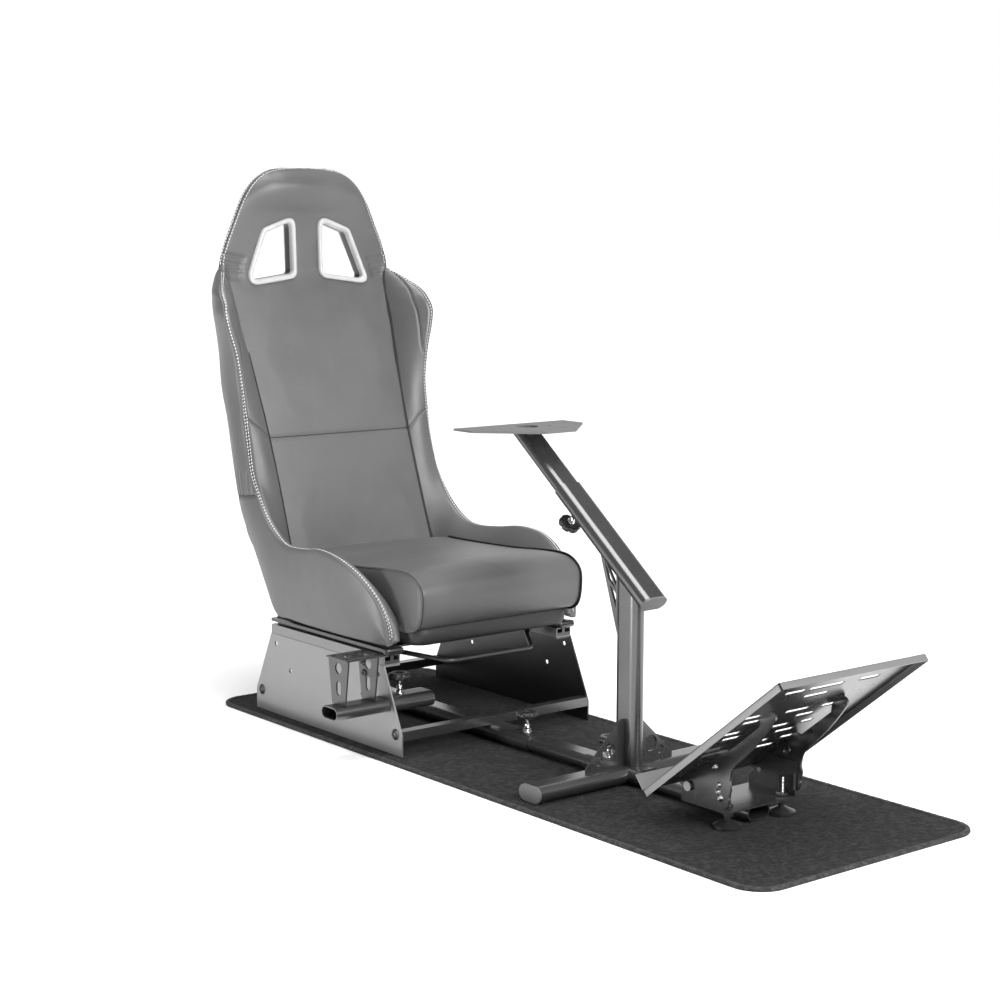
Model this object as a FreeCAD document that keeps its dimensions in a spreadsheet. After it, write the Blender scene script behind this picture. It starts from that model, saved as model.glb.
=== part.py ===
import FreeCAD, Part
import math
import os
import re
import Sketcher
from FreeCAD import Rotation, Vector

# Sim racing cockpit in millimetres and degrees. The origin is the middle of the mat's underside,
# the pedals are towards -Y, the seat back towards +Y and the driver's right hand towards -X.

doc = FreeCAD.newDocument("RacingCockpit")
sheet = doc.addObject("Spreadsheet::Sheet", "Sizes")

sizes = {
    # floor mat
    "mat_width": 506, "mat_length": 1492, "mat_thick": 6, "mat_corner": 52,
    # flat oval tube and its sliding fits
    "tube_width": 54, "tube_height": 28, "tube_wall": 2, "slide_gap": 0.3, "cap_thick": 4,
    "soft_gap": 0.3,
    # seat base plates
    "plate_spread": 220, "plate_sheet": 3, "plate_front": 162, "plate_rear": 644, "plate_kink": 44,
    "plate_top": 162, "plate_top_front": 216, "plate_top_rear": 589, "plate_flange": 36,
    "plate_hole_rad": 4.5, "upper_hole_drop": 18, "upper_hole_inset": 17,
    "lower_hole_drop": 63, "lower_hole_reach": 119,
    # cross bars and spine
    "bar_depth": 20, "bar_height": 17, "bar_wall": 2, "bar_inset": 10,
    "spine_front": 49, "spine_insert": 180, "spine_ahead": 74,
    # star knobs
    "knob_rad": 20, "knob_thick": 12, "knob_stem": 26, "knob_stem_rad": 5, "knob_lobe": 6,
    "knob_lobes": 6, "spine_knob_back": 31,
    # seat slides and pan
    "rail_width": 35, "rail_height": 18, "rail_wall": 2, "rail_mouth": 13, "rail_foot": 6,
    "rail_stem": 7, "rail_crown": 6, "rail_stand": 30, "pan_sheet": 3, "pan_half": 206,
    # release bar
    "release_rad": 4.5, "release_half": 96, "release_front": 184, "release_level": 160,
    "release_end_half": 154, "release_pivot": 273, "release_rise": 12, "release_bend": 22,
    "ear_sheet": 4, "ear_width": 22,
    # bucket seat
    "back_lean": 19.8, "back_foot": 549.5, "back_depth": 62, "back_half": 187,
    "head_top": 1055, "head_drop": 205, "head_depth": 30, "head_half": 198, "head_lean": -1,
    "head_edge": 12, "head_crown": 33, "head_round": 123, "head_flank": 145, "head_flank_drop": 73,
    "notch_drop": 197, "wing_front": 180, "wing_hump_at": 394, "wing_hump": 157, "wing_dip_at": 513,
    "wing_dip": 148, "wing_thick": 52, "wing_heel": 82, "wing_tip": 30, "waist_share": 0.49,
    "bolster_proud": 52, "bolster_share": 0.784,
    "cushion_nose": 146, "cushion_crown": 130, "cushion_sink": 18, "cushion_chin": 34,
    "cushion_throat": 55, "cushion_brow": 30,
    # harness holes and bezels
    "hole_low_drop": 237, "hole_high_drop": 87, "hole_inner": 25, "hole_outer": 152,
    "hole_inner_rise": 16, "hole_taper": 47, "hole_slope": 30, "hole_round": 20, "bezel_band": 8,
    "bezel_proud": 4, "bezel_step": 6, "bezel_gap": 0.4,
    # wheel column
    "column_at": -194, "sleeve_front": 47, "sleeve_rear": 92, "foot_half": 216,
    "gusset_foot": 84, "gusset_rise": 80, "gusset_sheet": 4, "gusset_nose": 7,
    "gusset_big_hole": 14, "gusset_big_out": 34, "gusset_big_up": 29,
    "gusset_small_hole": 7.5, "gusset_small_out": 56, "gusset_small_up": 15, "column_knob_back": 51,
    # wheel arm
    "arm_tilt": 37.6, "arm_low": -251.4, "arm_low_level": 318.6, "arm_length": 281,
    "arm_insert": 150, "wheel_level": 585, "truss_drop": 126, "truss_reach": 56, "truss_sheet": 5,
    "truss_band": 8, "arm_knob_back": 42,
    # wheel plate
    "wheel_sheet": 4, "wheel_half": 126, "wheel_rear": 39, "wheel_side": 55, "wheel_front": 104,
    "wheel_nose": 35, "wheel_eye": 20, "wheel_eye_ahead": 11, "wheel_bolt_rad": 3.2,
    "wheel_bolt_half": 95, "wheel_bolt_ahead": 18, "wheel_bolt_pitch": 31, "wheel_inner_half": 42,
    "wheel_inner_ahead": 42, "wheel_inner_pitch": 43,
    # shifter arm
    "shift_at": 218, "shift_level": 93, "shift_tip": 336, "socket_inner": 124, "shift_insert": 78,
    "leg_sheet": 3, "leg_outer": 316, "leg_inner": 253, "leg_foot": 40, "leg_head": 62,
    "leg_rise": 82, "leg_eye": 10, "leg_eye_drop": 16, "leg_slot": 7, "leg_slot_low": 24,
    "leg_slot_length": 12, "shift_plate_width": 112, "shift_plate_depth": 68,
    "shift_plate_sheet": 3, "shift_bolt_rad": 3.2, "shift_bolt_wide": 62, "shift_bolt_deep": 42,
    "shift_knob_at": 184, "strap_sheet": 3, "strap_width": 20, "strap_at": 202, "strap_foot": 32,
    "strap_lean": 14,
    # pedal frame
    "pedal_inset": 320, "channel_half": 78, "channel_sheet": 3, "channel_ahead": 81,
    "channel_behind": 22, "channel_high": 60, "channel_low": 18, "channel_slope": 32,
    "foot_at_half": 61, "foot_ahead": 65, "foot_disc": 23, "foot_disc_thick": 4, "stud_rad": 5,
    "stud_top": 66, "stud_gap": 0.3,
    # pedal tray
    "pivot_level": 62, "tray_tilt": 38.3, "tray_half": 164, "tray_length": 363,
    "tray_sheet": 3, "tray_flange": 12, "heel_lip": 28, "tray_back": 14.5, "tray_lift": 13.6,
    # pedal slots: place across, half length and place up the plate
    "slot_one_at": -115, "slot_one_half": 18, "slot_one_up": 112,
    "slot_two_at": -101, "slot_two_half": 18, "slot_two_up": 92,
    "slot_three_at": -10, "slot_three_half": 26, "slot_three_up": 104,
    "slot_four_at": 29, "slot_four_half": 20, "slot_four_up": 78,
    "slot_five_at": 63, "slot_five_half": 14, "slot_five_up": 100,
    "slot_width": 7, "slot_pitch": 55, "slot_rows": 3, "slot_top_up": 295, "slot_top_side": 83,
    "slot_top_short": 22, "slot_top_shift": 14, "slot_top_long": 38, "slot_next_drop": 28,
    "slot_next_half": 27,
    # tray brackets
    "pivot_rad": 4, "pivot_head": 5, "bracket_sheet": 4, "bracket_gap": 0.3, "bracket_tail": 19,
    "bracket_root": 106, "bracket_notch": 9, "bracket_tip": 204, "bracket_arm": 231,
    "bracket_tip_rad": 9, "bracket_tip_drop": 16, "bracket_bow": 450, "bracket_waist": 118,
    "bracket_waist_drop": 33, "bracket_waist_rad": 39, "bracket_neck": 80, "bracket_neck_drop": 60,
    "bracket_toe": 52, "bracket_toe_half": 16, "bracket_toe_rad": 18, "bracket_drop": 69,
    "bracket_hole": 4.5, "bracket_hole_drop": 60, "bracket_slot_at": 72, "bracket_slot_drop": 16,
}
for row, (name, number) in enumerate(sizes.items(), start=1):
    sheet.set(f"A{row}", name)
    sheet.set(f"B{row}", str(number))
    sheet.setAlias(f"B{row}", name)
doc.recompute()

# Lengths that several pieces share, written once as expressions of the sheet's cells.
shared = {
    "slip_width": "(tube_width - 2 * tube_wall - 2 * slide_gap)",
    "slip_height": "(tube_height - 2 * tube_wall - 2 * slide_gap)",
    "spine_mid": "(mat_thick + slide_gap + tube_height / 2)",
    "tube_top": "(mat_thick + slide_gap + tube_height)",
    "plate_mid": "((plate_front + plate_rear) / 2)",
    "plate_inner": "(plate_spread - plate_sheet)",
    "rail_mid": "(plate_spread - 1 - rail_width / 2)",
    "rail_floor": "(plate_top + rail_wall + slide_gap)",
    "pan_under": "(plate_top + rail_stand)",
    "seat_floor": "(plate_top + rail_stand + pan_sheet + soft_gap)",
    "wing_inner": "(back_half + soft_gap)",
    "head_break": "(head_top - head_drop)",
    "notch_level": "(head_top - notch_drop)",
    "waist_level": "(seat_floor + (notch_level - seat_floor) * waist_share)",
    "bolster_level": "(seat_floor + (notch_level - seat_floor) * bolster_share)",
    "hole_low": "(head_top - hole_low_drop)",
    "hole_high": "(head_top - hole_high_drop)",
    "pivot_at": "(pedal_inset - mat_length / 2)",
    "foot_at": "(pivot_at - foot_ahead)",
    "deck_level": "(mat_thick + slide_gap + tube_height / 2 + "
                  "(tube_height - 2 * tube_wall - 2 * slide_gap) / 2)",
}


def ref(text):
    def swap(found):
        word = found.group()
        if word in shared:
            return ref(shared[word])
        return "Sizes." + word if word in sizes else word

    return re.sub(r"[a-z]\w*", swap, str(text))


def value(text):
    return float(sheet.evalExpression(ref(text)))


def bind(thing, path, text):
    thing.setExpression(path, ref(text))


sub_parts = []


def place(thing, at=("0", "0", "0"), turn=None):
    if turn:
        axis, angle = turn
        thing.Placement = FreeCAD.Placement(Vector(), Rotation(Vector(*axis), value(angle)))
        bind(thing, "Placement.Rotation.Angle", angle)
    for axis_name, text in zip("xyz", at):
        bind(thing, f"Placement.Base.{axis_name}", text)


def new_body(label, at=("0", "0", "0"), turn=None, tool=False):
    # A tool is a body that only shapes another one, so it isn't written out.
    body = doc.addObject("PartDesign::Body", label)
    body.Label = label
    place(body, at, turn)
    if not tool:
        sub_parts.append(body)
    return body


def new_sketch(body, role, lift="0"):
    plane = next(item for item in body.Origin.OriginFeatures if item.Role == role)
    sketch = body.newObject("Sketcher::SketchObject", "Outline")
    sketch.AttachmentSupport = [(plane, "")]
    sketch.MapMode = "FlatFace"
    bind(sketch, "AttachmentOffset.Base.z", lift)
    return sketch


def fix(sketch, kind, geometry, point, text):
    index = sketch.addConstraint(Sketcher.Constraint(kind, geometry, point, value(text)))
    bind(sketch, f"Constraints[{index}]", text)


def fix_point(sketch, geometry, point, spot):
    fix(sketch, "DistanceX", geometry, point, spot[0])
    fix(sketch, "DistanceY", geometry, point, spot[1])


def arc_between(start, end, radius):
    # Short arc from start to end; its centre is to the left of that line, or right if negative.
    middle, chord = (start + end) / 2, end - start
    left = Vector(-chord.y, chord.x, 0).normalize() * math.copysign(1, radius)
    depth = abs(radius) - math.sqrt(radius ** 2 - (chord.Length / 2) ** 2)
    return Part.Arc(start, middle - left * depth, end)


def polygon(sketch, corners, arcs=None):
    # Closed outline through the corners; `arcs` gives the radius of each side that isn't straight.
    arcs = arcs or {}
    first = sketch.GeometryCount
    spots = [Vector(value(x), value(y), 0) for x, y in corners]
    count = len(spots)
    begins = []
    for i in range(count):
        start, end = spots[i], spots[(i + 1) % count]
        side = arc_between(start, end, value(arcs[i])) if i in arcs else Part.LineSegment(start, end)
        sketch.addGeometry(side)
        begins.append(1 if sketch.getPoint(first + i, 1).distanceToPoint(start) < 1e-6 else 2)
    for i in range(count):
        following = (i + 1) % count
        sketch.addConstraint(Sketcher.Constraint(
            "Coincident", first + i, 3 - begins[i], first + following, begins[following]))
    for i in range(count):
        fix_point(sketch, first + i, begins[i], corners[i])
    for i, radius in arcs.items():
        number = sketch.addConstraint(Sketcher.Constraint("Radius", first + i, abs(value(radius))))
        bind(sketch, f"Constraints[{number}]", f"abs({radius})")


def rectangle(sketch, low, high):
    polygon(sketch, [low, (high[0], low[1]), high, (low[0], high[1])])


def circle(sketch, spot, radius):
    centre = Vector(value(spot[0]), value(spot[1]), 0)
    index = sketch.addGeometry(Part.Circle(centre, Vector(0, 0, 1), value(radius)))
    fix_point(sketch, index, 3, spot)
    number = sketch.addConstraint(Sketcher.Constraint("Radius", index, value(radius)))
    bind(sketch, f"Constraints[{number}]", radius)


def oval(sketch, spot, reach, radius, upright=False):
    # A flat oval: two half rounds whose centres lie `reach` either side of the spot.
    x, y, half, round_rad = value(spot[0]), value(spot[1]), value(reach), value(radius)
    step = Vector(0, half, 0) if upright else Vector(half, 0, 0)
    side = Vector(round_rad, 0, 0) if upright else Vector(0, -round_rad, 0)
    start = math.pi if upright else math.pi / 2
    middle = Vector(x, y, 0)
    first = sketch.GeometryCount
    for sign, turn in ((-1, start), (1, start + math.pi)):
        base = Part.Circle(middle + step * sign, Vector(0, 0, 1), round_rad)
        sketch.addGeometry(Part.ArcOfCircle(base, turn, turn + math.pi))
    sketch.addGeometry(Part.LineSegment(middle - step + side, middle + step + side))
    sketch.addGeometry(Part.LineSegment(middle + step - side, middle - step - side))
    joints = ((0, 2, 2, 1), (2, 2, 1, 1), (1, 2, 3, 1), (3, 2, 0, 1))
    for arc, end, line, start_end in joints:
        sketch.addConstraint(
            Sketcher.Constraint("Tangent", first + arc, end, first + line, start_end))
    for index, sign in ((0, "-"), (1, "+")):
        along = f"{spot[1] if upright else spot[0]} {sign} ({reach})"
        centre = (spot[0], along) if upright else (along, spot[1])
        fix_point(sketch, first + index, 3, centre)
    number = sketch.addConstraint(Sketcher.Constraint("Radius", first, round_rad))
    bind(sketch, f"Constraints[{number}]", radius)


def pad(body, sketch, length, middle=False, back=False):
    feature = body.newObject("PartDesign::Pad", "Pad")
    feature.Profile = sketch
    feature.Midplane = middle
    feature.Reversed = back
    bind(feature, "Length", length)
    sketch.Visibility = False
    doc.recompute()
    return feature


def cut(body, sketch, length=None, back=False):
    # A pocket both ways through the body, or to a depth on one side.
    before = body.Shape.Volume
    feature = body.newObject("PartDesign::Pocket", "Pocket")
    feature.Profile = sketch
    if length is None:
        feature.Type = "ThroughAll"
        feature.Midplane = True
    else:
        feature.Reversed = back
        bind(feature, "Length", length)
    doc.recompute()
    if body.Shape.Volume >= before:
        raise ValueError(f"{body.Label}: a pocket cut nothing")
    return feature


def edges_along(feature, heading):
    return [f"Edge{i}" for i, edge in enumerate(feature.Shape.Edges, start=1)
            if abs(edge.tangentAt(edge.FirstParameter).dot(heading)) > 0.999]


def round_edges(body, feature, names, radius):
    fillet = body.newObject("PartDesign::Fillet", "Rounding")
    fillet.Base = (feature, names)
    bind(fillet, "Radius", radius)
    doc.recompute()
    return fillet


def oval_section(sketch, wide, tall, wall):
    oval(sketch, ("0", "0"), f"({wide} - {tall}) / 2", f"{tall} / 2")
    oval(sketch, ("0", "0"), f"({wide} - {tall}) / 2", f"{tall} / 2 - {wall}")


lie_back = ((1, 0, 0), "-90")
lie_across = ((1, 1, 1), "120")
stand_side = ((0, 0, 1), "90")
arm_turn = ((1, 0, 0), "arm_tilt - 90")
arm_run = "cos(arm_tilt)"
arm_rise = "sin(arm_tilt)"


def oval_tube(label, wide, tall, length, at, turn):
    body = new_body(label, at, turn)
    sketch = new_sketch(body, "XY_Plane")
    oval_section(sketch, wide, tall, "tube_wall")
    pad(body, sketch, length)
    return body


def outer_tube(label, length, at, turn):
    return oval_tube(label, "tube_width", "tube_height", length, at, turn)


def slip_tube(label, length, at, turn):
    return oval_tube(label, "slip_width", "slip_height", length, at, turn)


def tube_cap(label, at, turn):
    body = new_body(label, at, turn)
    sketch = new_sketch(body, "XY_Plane")
    oval(sketch, ("0", "0"), "(tube_width - tube_height) / 2", "tube_height / 2")
    pad(body, sketch, "cap_thick")
    return body


def star_knob(label, at, turn=None):
    # The stem stands on the tube and the lobed head is padded from the top of the stem.
    body = new_body(label, at, turn)
    stem = new_sketch(body, "XY_Plane")
    circle(stem, ("0", "0"), "knob_stem_rad")
    pad(body, stem, "knob_stem + knob_thick / 2")
    head = new_sketch(body, "XY_Plane", "knob_stem")
    circle(head, ("0", "0"), "knob_rad")
    pad(body, head, "knob_thick")
    scallop = new_sketch(body, "XY_Plane", "knob_stem")
    circle(scallop, ("knob_rad + knob_lobe / 3", "0"), "knob_lobe")
    pocket = cut(body, scallop, "knob_thick", back=True)
    pattern = body.newObject("PartDesign::PolarPattern", "Lobes")
    pattern.Originals = [pocket]
    pattern.Axis = (scallop, ["N_Axis"])
    pattern.Angle = 360
    bind(pattern, "Occurrences", "knob_lobes")
    body.Tip = pattern
    doc.recompute()
    return body


def floor_mat():
    body = new_body("floor_mat")
    sketch = new_sketch(body, "XY_Plane")
    rectangle(sketch, ("-mat_width / 2", "-mat_length / 2"), ("mat_width / 2", "mat_length / 2"))
    slab = pad(body, sketch, "mat_thick")
    round_edges(body, slab, edges_along(slab, Vector(0, 0, 1)), "mat_corner")


def side_plate(label, side):
    # Folded sheet: a tall side with a flange turned in along its top to carry the slide rail.
    sign = "-" if side < 0 else ""
    body = new_body(label, (f"{sign}plate_spread", "0", "0"))
    web = new_sketch(body, "YZ_Plane")
    polygon(web, [
        ("plate_front", "mat_thick"), ("plate_rear", "mat_thick"), ("plate_rear", "plate_kink"),
        ("plate_top_rear", "plate_top"), ("plate_top_front", "plate_top"),
        ("plate_front", "plate_kink")])
    pad(body, web, "plate_sheet", back=side > 0)
    flange = new_sketch(body, "YZ_Plane")
    rectangle(flange, ("plate_top_front", "plate_top - plate_sheet"), ("plate_top_rear", "plate_top"))
    pad(body, flange, "plate_flange", back=side > 0)
    holes = new_sketch(body, "YZ_Plane")
    for along, drop in (
            ("plate_top_front + upper_hole_inset", "upper_hole_drop"),
            ("plate_top_rear - upper_hole_inset", "upper_hole_drop"),
            ("plate_mid - lower_hole_reach", "lower_hole_drop"),
            ("plate_mid + lower_hole_reach", "lower_hole_drop")):
        circle(holes, (along, f"plate_top - {drop}"), "plate_hole_rad")
    if side < 0:
        oval(holes, ("shift_at", "shift_level"), "(tube_width - tube_height) / 2",
             "tube_height / 2 - tube_wall")
    cut(body, holes)


def cross_bar(label, middle):
    body = new_body(label, ("0", middle, "tube_top"))
    sketch = new_sketch(body, "YZ_Plane")
    rectangle(sketch, ("-bar_depth / 2", "0"), ("bar_depth / 2", "bar_height"))
    rectangle(sketch, ("-bar_depth / 2 + bar_wall", "bar_wall"),
              ("bar_depth / 2 - bar_wall", "bar_height - bar_wall"))
    pad(body, sketch, "2 * plate_inner", middle=True)


def lower_rail(label, sign):
    body = new_body(label, (f"{sign}rail_mid", "plate_top_front", "plate_top"))
    sketch = new_sketch(body, "XZ_Plane")
    half, lip = "rail_width / 2", "rail_mouth / 2"
    polygon(sketch, [
        (f"-{half}", "0"), (half, "0"), (half, "rail_height"), (lip, "rail_height"),
        (lip, "rail_height - rail_wall"), (f"{half} - rail_wall", "rail_height - rail_wall"),
        (f"{half} - rail_wall", "rail_wall"), (f"-{half} + rail_wall", "rail_wall"),
        (f"-{half} + rail_wall", "rail_height - rail_wall"), (f"-{lip}", "rail_height - rail_wall"),
        (f"-{lip}", "rail_height"), (f"-{half}", "rail_height")])
    pad(body, sketch, "plate_top_rear - plate_top_front", back=True)


def upper_rail(label, sign):
    body = new_body(label, (f"{sign}rail_mid", "plate_top_front", "rail_floor"))
    sketch = new_sketch(body, "XZ_Plane")
    foot, stem, crown = "(rail_width / 2 - rail_wall - 1)", "rail_stem / 2", "rail_width / 2"
    top = "(pan_under - rail_floor)"
    polygon(sketch, [
        (f"-{foot}", "0"), (foot, "0"), (foot, "rail_foot"), (stem, "rail_foot"),
        (stem, f"{top} - rail_crown"), (crown, f"{top} - rail_crown"), (crown, top), (f"-{crown}", top),
        (f"-{crown}", f"{top} - rail_crown"), (f"-{stem}", f"{top} - rail_crown"),
        (f"-{stem}", "rail_foot"), (f"-{foot}", "rail_foot")])
    pad(body, sketch, "plate_top_rear - plate_top_front", back=True)


def seat_pan():
    # A pressed sheet over both rails, with an ear at each side for the release bar.
    body = new_body("seat_pan", ("0", "0", "pan_under"))
    sheet_outline = new_sketch(body, "XY_Plane")
    rectangle(sheet_outline, ("-pan_half", "plate_top_front"), ("pan_half", "plate_top_rear"))
    pad(body, sheet_outline, "pan_sheet")
    inner = "release_end_half + slide_gap"
    low = "release_level + release_rise - pan_under - ear_width / 2"
    for sign, back in (("", False), ("-", True)):
        ear = new_sketch(body, "YZ_Plane", f"{sign}({inner})")
        rectangle(ear, ("release_pivot - ear_width / 2", low), ("release_pivot + ear_width / 2", "1"))
        pad(body, ear, "ear_sheet", back=back)


def release_bar():
    # Bent rod: a front run between two corners, with arms that splay back and up to the ears.
    half, end_half = value("release_half"), value("release_end_half")
    front, level = value("release_front"), value("release_level")
    corner = Vector(half, front, level)
    pivot = Vector(end_half, value("release_pivot"), level + value("release_rise"))
    out, away = Vector(-1, 0, 0), (pivot - corner).normalize()
    tip = pivot + away * (2 * value("release_rad"))
    opening = out.getAngle(away)
    reach = value("release_bend") / math.tan(opening / 2)
    bisector = (out + away).normalize()
    centre = corner + bisector * (value("release_bend") / math.sin(opening / 2))
    near, far = corner + out * reach, corner + away * reach
    crest = centre - bisector * value("release_bend")

    def flip(spot):
        return Vector(-spot.x, spot.y, spot.z)

    path = Part.Wire([
        Part.LineSegment(flip(tip), flip(far)).toShape(),
        Part.Arc(flip(far), flip(crest), flip(near)).toShape(),
        Part.LineSegment(flip(near), near).toShape(),
        Part.Arc(near, crest, far).toShape(),
        Part.LineSegment(far, tip).toShape()])
    start = flip(tip)
    heading = flip(far) - start
    ring = Part.Wire([Part.makeCircle(value("release_rad"), start, heading)])
    rod = doc.addObject("Part::Feature", "release_bar")
    rod.Label = "release_bar"
    span = 4 * end_half
    keep = Part.makeBox(2 * end_half, span, span, Vector(-end_half, front - span / 2, level - span / 2))
    rod.Shape = path.makePipeShell([ring], True, False).common(keep).Solids[0]
    place(rod)
    sub_parts.append(rod)


back_slope = "tan(back_lean)"


def back_line(level, step="0"):
    return f"(back_foot + ({level} - seat_floor) * {back_slope} + ({step}))"


def hole_block(body, side, length, grow="0"):
    # Rounded block of a harness hole's outline; its sides lean as the head narrows.
    outline = new_sketch(body, "XZ_Plane")
    low, high, outer = "hole_low", "hole_high", "hole_outer"
    polygon(outline, [(f"{side} * ({x})", z) for x, z in (
        (f"hole_inner - {grow}", f"{low} + hole_inner_rise - {grow}"),
        (f"{outer} + {grow}", f"{low} - {grow}"),
        (f"{outer} - hole_taper + {grow}", f"{high} - hole_slope + {grow}"),
        (f"hole_inner - {grow}", f"{high} + {grow}"))])
    block = pad(body, outline, length, back=True)
    return round_edges(body, block, edges_along(block, Vector(0, 1, 0)), "hole_round")


def seat_back():
    # The side profile of the padded back, trimmed to the outline that the front view shows.
    body = new_body("back_slab", tool=True)
    profile = new_sketch(body, "YZ_Plane")
    lean = "(head_top - head_break) * tan(head_lean)"
    top_front = f"{back_line('head_break')} + {lean}"
    polygon(profile, [
        (back_line("seat_floor"), "seat_floor"),
        (back_line("head_break"), "head_break"),
        (top_front, "head_top - head_edge"),
        (f"{top_front} + head_edge", "head_top"),
        (f"{top_front} + head_depth - head_edge", "head_top"),
        (f"{top_front} + head_depth", "head_top - head_edge"),
        (back_line("head_break", "head_depth"), "head_break"),
        (back_line("seat_floor", "back_depth"), "seat_floor")])
    pad(body, profile, "2 * head_half", middle=True)
    trim = new_sketch(body, "XZ_Plane")
    shelf, outside = "notch_level + soft_gap", "2 * head_half"
    for side in ("-1", "1"):
        flank = [
            ("back_half", "0"), ("back_half", shelf), ("head_half", shelf),
            ("head_flank", "head_top - head_flank_drop"), ("head_crown", "head_top"),
            ("head_crown", "head_top + head_edge"), (outside, "head_top + head_edge"), (outside, "0")]
        polygon(trim, [(f"{side} * ({x})", z) for x, z in flank], {3: f"{side} * head_round"})
    cut(body, trim)
    plugs = doc.addObject("Part::Compound", "hole_plugs")
    for side in ("-1", "1"):
        plug = new_body("hole_plug", ("0", "back_foot", "0"), tool=True)
        hole_block(plug, side, back_line("head_break"), "bezel_gap")
        plugs.Links = plugs.Links + [plug]
    back = doc.addObject("Part::Cut", "seat_back")
    back.Base = body
    back.Tool = plugs
    sub_parts.append(back)


def bezel(label, side):
    # A moulded liner through the back: a rounded block shelled to an even wall, proud of both faces.
    body = new_body(label, ("0", f"{back_line('head_break')} - bezel_proud - bezel_step", "0"))
    rounded = hole_block(body, side, "head_depth + 2 * bezel_proud + bezel_step")
    shell = body.newObject("PartDesign::Thickness", "Wall")
    ends = [f"Face{i}" for i, face in enumerate(rounded.Shape.Faces, start=1)
            if abs(face.normalAt(0, 0).y) > 0.99]
    shell.Base = (rounded, ends)
    shell.Reversed = True
    bind(shell, "Value", "bezel_band")
    doc.recompute()


def side_wing(label, side):
    # One upholstered wing a side: thigh support, waist and shoulder bolster in a single sweep.
    floor = value("seat_floor")
    front, hump_at = value("wing_front"), value("wing_hump_at")
    hump = floor + value("wing_hump")
    slope = math.tan(math.radians(value("back_lean")))

    def on_back(level, ahead=0.0):
        return Vector(0, value("back_foot") + (level - floor) * slope - ahead, level)

    start, crest = Vector(0, front, floor), Vector(0, hump_at, hump)
    major, minor = (start, crest) if hump_at - front > hump - floor else (crest, start)
    nose = Part.Ellipse(major, minor, Vector(0, hump_at, floor))
    ends = [nose.parameter(start), nose.parameter(crest)]
    if (ends[1] - ends[0]) % (2 * math.pi) > math.pi:
        ends.reverse()
    nose_edge = nose.toShape(*ends)
    proud = value("bolster_proud")
    notch = value("notch_level")
    waist, shoulder = value("waist_level"), value("bolster_level")
    dip = Vector(0, value("wing_dip_at"), floor + value("wing_dip"))
    edge_spots = [
        crest, dip,
        on_back(dip.z + (waist - dip.z) * 0.3, proud * 0.3),
        on_back(waist, proud * 0.08),
        on_back((waist + shoulder) / 2, proud * 0.72),
        on_back(shoulder, proud),
        on_back(shoulder + (notch - shoulder) * 0.6, proud * 0.75),
        on_back(notch)]
    sweep = Part.BSplineCurve()
    sweep.interpolate(edge_spots)
    depth = value("back_depth")
    foot_back = Vector(0, value("plate_top_rear") - value("wing_thick") / 2, floor)
    rear_top = on_back(notch, -value("wing_tip"))
    rear_low = on_back(floor + value("wing_dip"), -value("wing_heel"))
    rear = Part.BSplineCurve()
    rear.interpolate([rear_top, on_back(waist, -depth), rear_low, foot_back])
    outline = Part.Wire([
        nose_edge, sweep.toShape(), Part.LineSegment(edge_spots[-1], rear_top).toShape(),
        rear.toShape(), Part.LineSegment(foot_back, start).toShape()])
    wing = doc.addObject("Part::Feature", label)
    wing.Label = label
    wing.Shape = Part.Face(outline).extrude(Vector(side * value("wing_thick"), 0, 0))
    place(wing, (f"{side} * wing_inner", "0", "0"))
    sub_parts.append(wing)


def seat_cushion():
    body = new_body("seat_cushion")
    profile = new_sketch(body, "YZ_Plane")
    crown = "(seat_floor + cushion_crown)"
    rear_level = f"({crown} - cushion_sink)"
    polygon(profile, [
        ("cushion_nose + cushion_throat", "seat_floor"),
        ("cushion_nose", "seat_floor + cushion_chin + cushion_throat / 2"),
        ("cushion_nose + cushion_brow / 6", f"{crown} - cushion_brow"),
        ("cushion_nose + cushion_brow", f"{crown} - cushion_brow / 6"),
        ("cushion_nose + 2 * cushion_brow", crown),
        (back_line(rear_level, "-1"), rear_level),
        (back_line("seat_floor", "-1"), "seat_floor")])
    pad(body, profile, "2 * back_half", middle=True)


def column_foot(label, side):
    # The tube's inner end is coped to the round side of the sleeve.
    inner = "(tube_width - tube_height) / 2"
    start, saddle_at = (inner, "0") if side > 0 else ("-foot_half", f"foot_half - {inner}")
    body = outer_tube(label, f"foot_half - {inner}", (start, "column_at", "spine_mid"), lie_across)
    saddle = new_sketch(body, "YZ_Plane")
    circle(saddle, ("0", saddle_at), "tube_height / 2")
    cut(body, saddle)


def arm_underside(place_y):
    # Level of the arm's lower face over a place along Y.
    return (f"(arm_low_level + ({place_y} - arm_low) * tan(arm_tilt)"
            " - tube_height / 2 / cos(arm_tilt))")


def arm_spot(along, below="0"):
    # A point on the arm's axis, or `below` it at a right angle.
    return ("0", f"arm_low + ({along}) * {arm_run} + ({below}) * {arm_rise}",
            f"arm_low_level + ({along}) * {arm_rise} - ({below}) * {arm_run}")


def column_upright():
    body = outer_tube("column_upright", f"{arm_underside(column_rear)} - tube_top + 1",
                      ("0", "column_at", "tube_top"), stand_side)
    mitre = new_sketch(body, "XZ_Plane")
    reach = "tube_width"
    low, high = (f"({arm_underside(f'(column_at {sign} {reach})')} - tube_top)" for sign in "-+")
    polygon(mitre, [(f"-{reach}", low), (reach, high), (reach, f"2 * {high}"), (f"-{reach}", f"2 * {high}")])
    cut(body, mitre)


column_rear = "(column_at + tube_width / 2)"


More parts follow.
